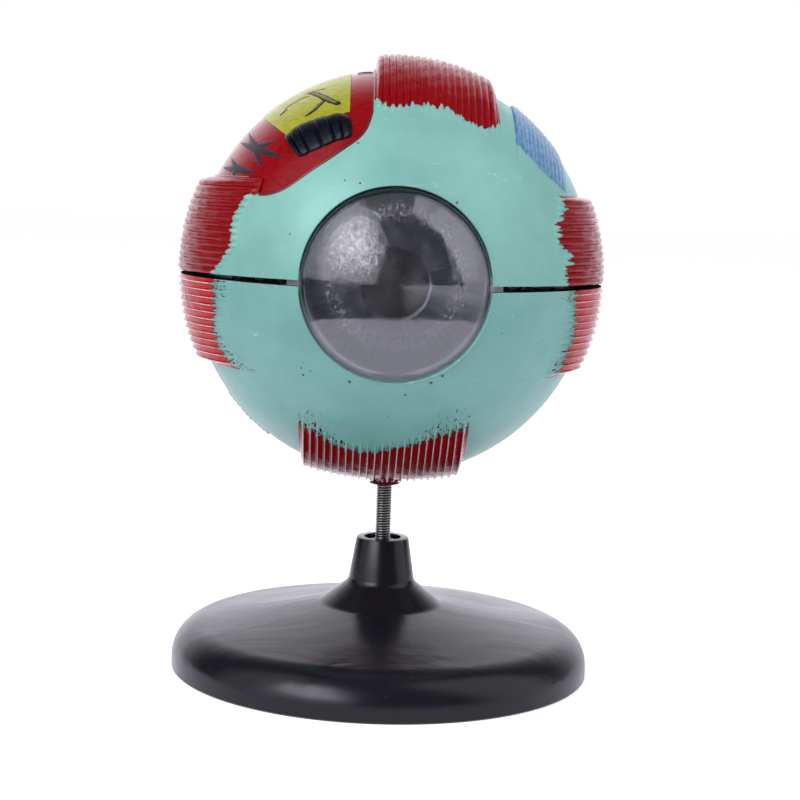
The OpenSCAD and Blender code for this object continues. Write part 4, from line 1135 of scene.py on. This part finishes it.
y[-4:, :] = np.array([[iris_y[0] + 0.42], [iris_y[0] + 0.42], [iris_y[0] + 0.6], [iris_y[1]]]) + 0 * around
iris_points = np.stack([radii[:, None] * np.cos(around), y, radii[:, None] * np.sin(around)], axis=-1)
inner_back = np.stack([PUPIL_R * np.cos(around), iris_y[1] + 0 * around, PUPIL_R * np.sin(around)],
    axis=-1)[None]
iris_points = np.concatenate([iris_points, inner_back])
iris_points[..., 2] += CENTRE["lower"]
iris_pvc, tree, place = new_material("pvc_moulded_iris")
local = add(tree, "ShaderNodeVectorMath", {0: place, 1: (0, 0, CENTRE["lower"] * MM)}, operation="SUBTRACT")
local = add(tree, "ShaderNodeVectorMath", {0: local, "Scale": 1000.0}, operation="SCALE")
split = tree.nodes.new("ShaderNodeSeparateXYZ")
tree.links.new(local, split.inputs[0])
spoke = add(tree, "ShaderNodeMath", {0: split.outputs[2], 1: split.outputs[0]}, operation="ARCTAN2")
reach = add(tree, "ShaderNodeVectorMath", {0: local}, operation="LENGTH").node.outputs["Value"]
polar = add(tree, "ShaderNodeCombineXYZ", {0: spoke, 1: reach})
fibre = add(tree, "ShaderNodeVectorMath", {0: polar, 1: (22.0, 0.12, 0.0)}, operation="MULTIPLY")
fibre = add(tree, "ShaderNodeTexNoise", {"Vector": fibre, "Scale": 1.0, "Detail": 5.0, "Roughness": 0.65})
tone = add(tree, "ShaderNodeMapRange", {0: fibre, 1: 0.3, 2: 0.7})
tone = add(tree, "ShaderNodeMix", {0: tone, 6: srgb("#2f3238"), 7: srgb("#1d1f23")},
    data_type="RGBA").node.outputs[2]
flat = add(tree, "ShaderNodeVectorMath", {0: local, 1: (1, 0, 1)}, operation="MULTIPLY")
flat = add(tree, "ShaderNodeVectorMath", {0: flat}, operation="LENGTH").node.outputs["Value"]
# painted highlight: the bevel of the pupil is painted pale at the lower right, where the key light catches it
pupil_bevel_highlight = add(tree, "ShaderNodeMapRange", {0: flat, 1: PUPIL_R + 1.05, 2: PUPIL_R + 0.9})
lower_right_glint = add(tree, "ShaderNodeMath", {0: spoke, 1: 0.5}, operation="ADD")
lower_right_glint = add(tree, "ShaderNodeMath", {0: lower_right_glint}, operation="ABSOLUTE")
lower_right_glint = add(tree, "ShaderNodeMapRange", {0: lower_right_glint, 1: 0.95, 2: 0.3}, interpolation_type="SMOOTHSTEP")
pupil_bevel_highlight = add(tree, "ShaderNodeMath", {0: pupil_bevel_highlight, 1: lower_right_glint}, operation="MULTIPLY")
tone = add(tree, "ShaderNodeMix", {0: pupil_bevel_highlight, 6: tone, 7: srgb("#83868d")}, data_type="RGBA").node.outputs[2]
# painted shade: the wall of the pupil behind the bevel is painted near black
pupil_wall_shade = add(tree, "ShaderNodeMapRange", {0: flat, 1: PUPIL_R + 0.25, 2: PUPIL_R + 0.05})
tone = add(tree, "ShaderNodeMix", {0: pupil_wall_shade, 6: tone, 7: srgb("#0b0b0d")}, data_type="RGBA").node.outputs[2]
rough = add(tree, "ShaderNodeMapRange", {0: fibre, 3: 0.4, 4: 0.6})
bump = add(tree, "ShaderNodeBump", {"Height": fibre, "Strength": 0.5, "Distance": 0.0003})
finish_material(tree, add(tree, "ShaderNodeBsdfPrincipled", {
    "Base Color": tone, "Roughness": rough, "IOR": 1.5, "Specular IOR Level": 0.3, "Normal": bump}))
fit(skin("iris_relief", iris_points, wrap_rows=True, sharp=50), "iris_disc", "iris_grey", iris_pvc, "iris")

# %% [markdown]
# ## Clear pieces
# The cornea is moulded clear polystyrene (IOR 1.59), a 1.5 mm skin that has been handled:
# fine scratches, a little haze, dust, and a patch at the upper left where the skin is
# crinkled. Scratches are roughness and relief; haze and dust are a thin share of diffuse
# white. Its flange is sanded matt where the shells grip it. For shadow rays it passes light
# straight through, since a clear dome throws almost no shadow.

# %% Clear plastics
def clear_plastic(name, haze, tint, ior, dome=False, rough_range=(0.03, 0.12), level=0.5):
    material, tree, place = new_material(name)
    rays = tree.nodes.new("ShaderNodeLightPath").outputs
    local = add(tree, "ShaderNodeVectorMath", {0: place, 1: (0, 0, (CENTRE["lower"] + 0.5) * MM)},
        operation="SUBTRACT")
    local = add(tree, "ShaderNodeVectorMath", {0: local, "Scale": 1000.0}, operation="SCALE")
    handled = add(tree, "ShaderNodeTexNoise", {"Vector": local, "Scale": 0.09, "Detail": 6.0,
        "Roughness": 0.65, "Distortion": 0.6})
    cloudy = add(tree, "ShaderNodeMapRange", {0: handled, 1: 0.42, 2: 0.68}, interpolation_type="SMOOTHSTEP")
    hair = add(tree, "ShaderNodeVectorMath", {0: local, 1: (0.5, 0.5, 2.4)}, operation="MULTIPLY")
    hair = add(tree, "ShaderNodeTexNoise", {"Vector": hair, "Scale": 1.0, "Detail": 5.0, "Roughness": 0.75,
        "Distortion": 2.0})
    hair = add(tree, "ShaderNodeMapRange", {0: hair, 1: 0.64, 2: 0.74})
    rough = add(tree, "ShaderNodeMapRange", {0: cloudy, 3: rough_range[0], 4: rough_range[1]})
    waves = add(tree, "ShaderNodeTexNoise", {"Vector": local, "Scale": 0.12, "Detail": 2.0, "Roughness": 0.5})
    bump = add(tree, "ShaderNodeBump", {"Height": waves, "Strength": 0.2, "Distance": 0.0006})
    amount = add(tree, "ShaderNodeMapRange", {0: cloudy, 3: haze * 0.5, 4: haze * 1.4})
    amount = add(tree, "ShaderNodeMath", {0: hair, 1: haze * 2.0, 2: amount}, operation="MULTIPLY_ADD")
    if dome:
        # the crinkled patch: full over 12 mm and faded out at 30 mm, creases 2 mm apart
        near = add(tree, "ShaderNodeVectorMath", {0: local, 1: (-14.5, -76.0, 12.5)},
            operation="DISTANCE").node.outputs["Value"]
        near = add(tree, "ShaderNodeMapRange", {0: near, 1: 15.0, 2: 6.0}, interpolation_type="SMOOTHSTEP")
        crease = add(tree, "ShaderNodeTexNoise", {"Vector": local, "Scale": 0.5, "Detail": 3.0,
            "Roughness": 0.55, "Distortion": 0.8})
        crease = add(tree, "ShaderNodeMath", {0: crease, 1: 0.5}, operation="SUBTRACT")
        crease = add(tree, "ShaderNodeMath", {0: crease}, operation="ABSOLUTE")
        crease = add(tree, "ShaderNodeMath", {0: crease, 1: near}, operation="MULTIPLY")
        bump = add(tree, "ShaderNodeBump", {"Height": crease, "Strength": 0.6, "Distance": 0.0007,
            "Normal": bump})
        # dust: specks a fifth to a third of a millimetre across
        speck = add(tree, "ShaderNodeTexVoronoi", {"Vector": local, "Scale": 0.42})
        speck = add(tree, "ShaderNodeMapRange", {0: speck, 1: 0.075, 2: 0.04, 3: 0.0, 4: 0.22})
        speck = add(tree, "ShaderNodeMath", {0: speck, 1: cloudy}, operation="MULTIPLY")
        amount = add(tree, "ShaderNodeMath", {0: amount, 1: speck}, operation="ADD")
        # a broken ring of fine nicks, 22 mm round a point 3 mm above the middle
        ring = add(tree, "ShaderNodeVectorMath", {0: local, 1: (1, 0, 1)}, operation="MULTIPLY")
        ring = add(tree, "ShaderNodeVectorMath", {0: ring, 1: (0, 0, 3)},
            operation="DISTANCE").node.outputs["Value"]
        ring = add(tree, "ShaderNodeMath", {0: ring, 1: 22.0}, operation="SUBTRACT")
        ring = add(tree, "ShaderNodeMath", {0: ring}, operation="ABSOLUTE")
        ring = add(tree, "ShaderNodeMapRange", {0: ring, 1: 4.5, 2: 0.5}, interpolation_type="SMOOTHSTEP")
        nick = add(tree, "ShaderNodeTexNoise", {"Vector": local, "Scale": 1.15, "Detail": 3.0,
            "Roughness": 0.7})
        nick = add(tree, "ShaderNodeMapRange", {0: nick, 1: 0.54, 2: 0.64, 3: 0.0, 4: 0.3})
        nick = add(tree, "ShaderNodeMath", {0: nick, 1: ring}, operation="MULTIPLY")
        amount = add(tree, "ShaderNodeMath", {0: amount, 1: nick}, operation="ADD")
        # the flange, further from the axis than the hole in the shells
        outward = add(tree, "ShaderNodeVectorMath", {0: local, 1: (1, 0, 1)}, operation="MULTIPLY")
        outward = add(tree, "ShaderNodeVectorMath", {0: outward}, operation="LENGTH").node.outputs["Value"]
        sanded = add(tree, "ShaderNodeMapRange", {0: outward, 1: 32.95, 2: 33.1, 3: 0.0, 4: 0.85})
        parts = tree.nodes.new("ShaderNodeSeparateXYZ")
        tree.links.new(local, parts.inputs[0])
        height = parts.outputs[2]
        at_gap = add(tree, "ShaderNodeMath", {0: height}, operation="ABSOLUTE")
        at_gap = add(tree, "ShaderNodeMapRange", {0: at_gap, 1: 4.0, 2: 3.0})
        sanded = add(tree, "ShaderNodeMath", {0: sanded, 1: at_gap}, operation="MULTIPLY")
        amount = add(tree, "ShaderNodeMath", {0: amount, 1: sanded}, operation="MAXIMUM")
        # haze where fingers hold the lower rim of the dome
        worn_rim = add(tree, "ShaderNodeMapRange", {0: outward, 1: 29.0, 2: 31.2, 3: 0.0, 4: 0.18})
        below = add(tree, "ShaderNodeMapRange", {0: height, 1: -4.0, 2: -18.0})
        worn_rim = add(tree, "ShaderNodeMath", {0: worn_rim, 1: below}, operation="MULTIPLY")
        amount = add(tree, "ShaderNodeMath", {0: amount, 1: worn_rim}, operation="ADD")
    clear = add(tree, "ShaderNodeBsdfPrincipled", {
        "Base Color": srgb(tint), "Roughness": rough, "IOR": ior, "Specular IOR Level": level,
        "Transmission Weight": 1.0, "Normal": bump})
    dust = add(tree, "ShaderNodeBsdfDiffuse", {"Color": srgb("#d4d5dc")})
    mixed = add(tree, "ShaderNodeMixShader", {0: amount, 1: clear, 2: dust})
    passing = add(tree, "ShaderNodeBsdfTransparent", {"Color": (0.9, 0.9, 0.92, 1)})
    mixed = add(tree, "ShaderNodeMixShader", {0: rays["Is Shadow Ray"], 1: mixed, 2: passing})
    finish_material(tree, mixed)
    return material


styrene = clear_plastic("polystyrene_moulded_handled", 0.022, "#e6e8ee", 1.59, dome=True)
acrylic = clear_plastic("acrylic_cast_clear", 0.012, "#a8a39b", 1.49, rough_range=(0.14, 0.26), level=0.15)
blown = clear_plastic("acrylic_blown_clear", 0.02, "#e9eeee", 1.49, rough_range=(0.2, 0.3), level=0.15)

# %% [markdown]
# The dome is a lathe part about the eye's axis: outside cap, collar, flange, then back up
# the inside. Sampling the caps every half millimetre keeps its reflections smooth.

# %% Cornea
CORNEA_R, CORNEA_RISE, WALL, FLANGE_R = 32.8, 13.0, 1.5, 37.3
DOME_FRONT, FLANGE_FRONT, FLANGE_BACK = -66.5, -62.0, -60.5
ball = (CORNEA_R ** 2 + CORNEA_RISE ** 2) / (2 * CORNEA_RISE)
ball_y = DOME_FRONT - CORNEA_RISE + ball
inner = ball - WALL
inner_r = math.sqrt(inner ** 2 - (ball_y - DOME_FRONT) ** 2)
outer_r = np.linspace(0, CORNEA_R - 0.25, 70)
inner_line = np.linspace(inner_r, 0, 70)
profile = np.concatenate([
    np.stack([outer_r, ball_y - np.sqrt(ball ** 2 - outer_r ** 2)], axis=1),
    [[CORNEA_R, DOME_FRONT + 0.35], [CORNEA_R, FLANGE_FRONT - 0.3], [CORNEA_R + 0.3, FLANGE_FRONT],
     [FLANGE_R - 0.2, FLANGE_FRONT], [FLANGE_R, FLANGE_FRONT + 0.2], [FLANGE_R, FLANGE_BACK - 0.2],
     [FLANGE_R - 0.2, FLANGE_BACK], [inner_r, FLANGE_BACK]],
    np.stack([inner_line, ball_y - np.sqrt(inner ** 2 - inner_line ** 2)], axis=1),
])
dome = turn(profile, 200)[..., [0, 2, 1]]
dome[..., 2] += CENTRE["lower"] + 0.5
fit(skin("cornea_dome", dome, sharp=40), "cornea_cap", "cornea_clear", styrene, "cornea")
recoat("lens", acrylic)
recoat("vitreous_front", blown)
recoat("vitreous_rear", blown)

# %% [markdown]
# The hole in the sclera has a soft lip of paint, where spray gathered on the edge. It is a
# thin bead along the edge on each shell, which draws the bright line round the dome.

# %% Lip of paint round the hole
for shell, low_angle, high_angle, seat in (("upper", -0.6, 180.6, 1.0), ("lower", 181.6, 358.4, 0.0)):
    angle = np.radians(np.linspace(low_angle, high_angle, 160))
    x, z = 33.45 * np.cos(angle), 33.45 * np.sin(angle) + seat
    raise_by = CENTRE[shell] - CENTRE["lower"]
    edge = np.stack([x, -np.sqrt(GLOBE_R ** 2 - x ** 2 - (z - raise_by) ** 2), z], axis=-1)
    spin = np.linspace(0, 2 * math.pi, 12, endpoint=False)
    # most of the paint ran to the lower right before it set
    run = 0.26 + 0.34 * np.exp(-((angle - math.radians(322)) / 0.6) ** 2)
    swell = run * np.sqrt(np.clip(1 - np.linspace(-1, 1, 160) ** 40, 0,
        1)) * (1 + 0.12 * ripple(angle * 9, 0 * angle, 4))
    radial = np.stack([np.cos(angle), 0 * angle, np.sin(angle)], axis=-1)
    ahead = np.array([0.0, -1.0, 0.0])
    lip = edge[:, None, :] + swell[:, None, None] * (
        np.cos(spin)[None, :, None] * radial[:, None, :] + np.sin(spin)[None, :, None] * ahead)
    lip[..., 2] += CENTRE["lower"]
    fit(skin("window_lip_" + shell, lip, sharp=80), shell + "_globe", "sclera_teal", pvc[shell])
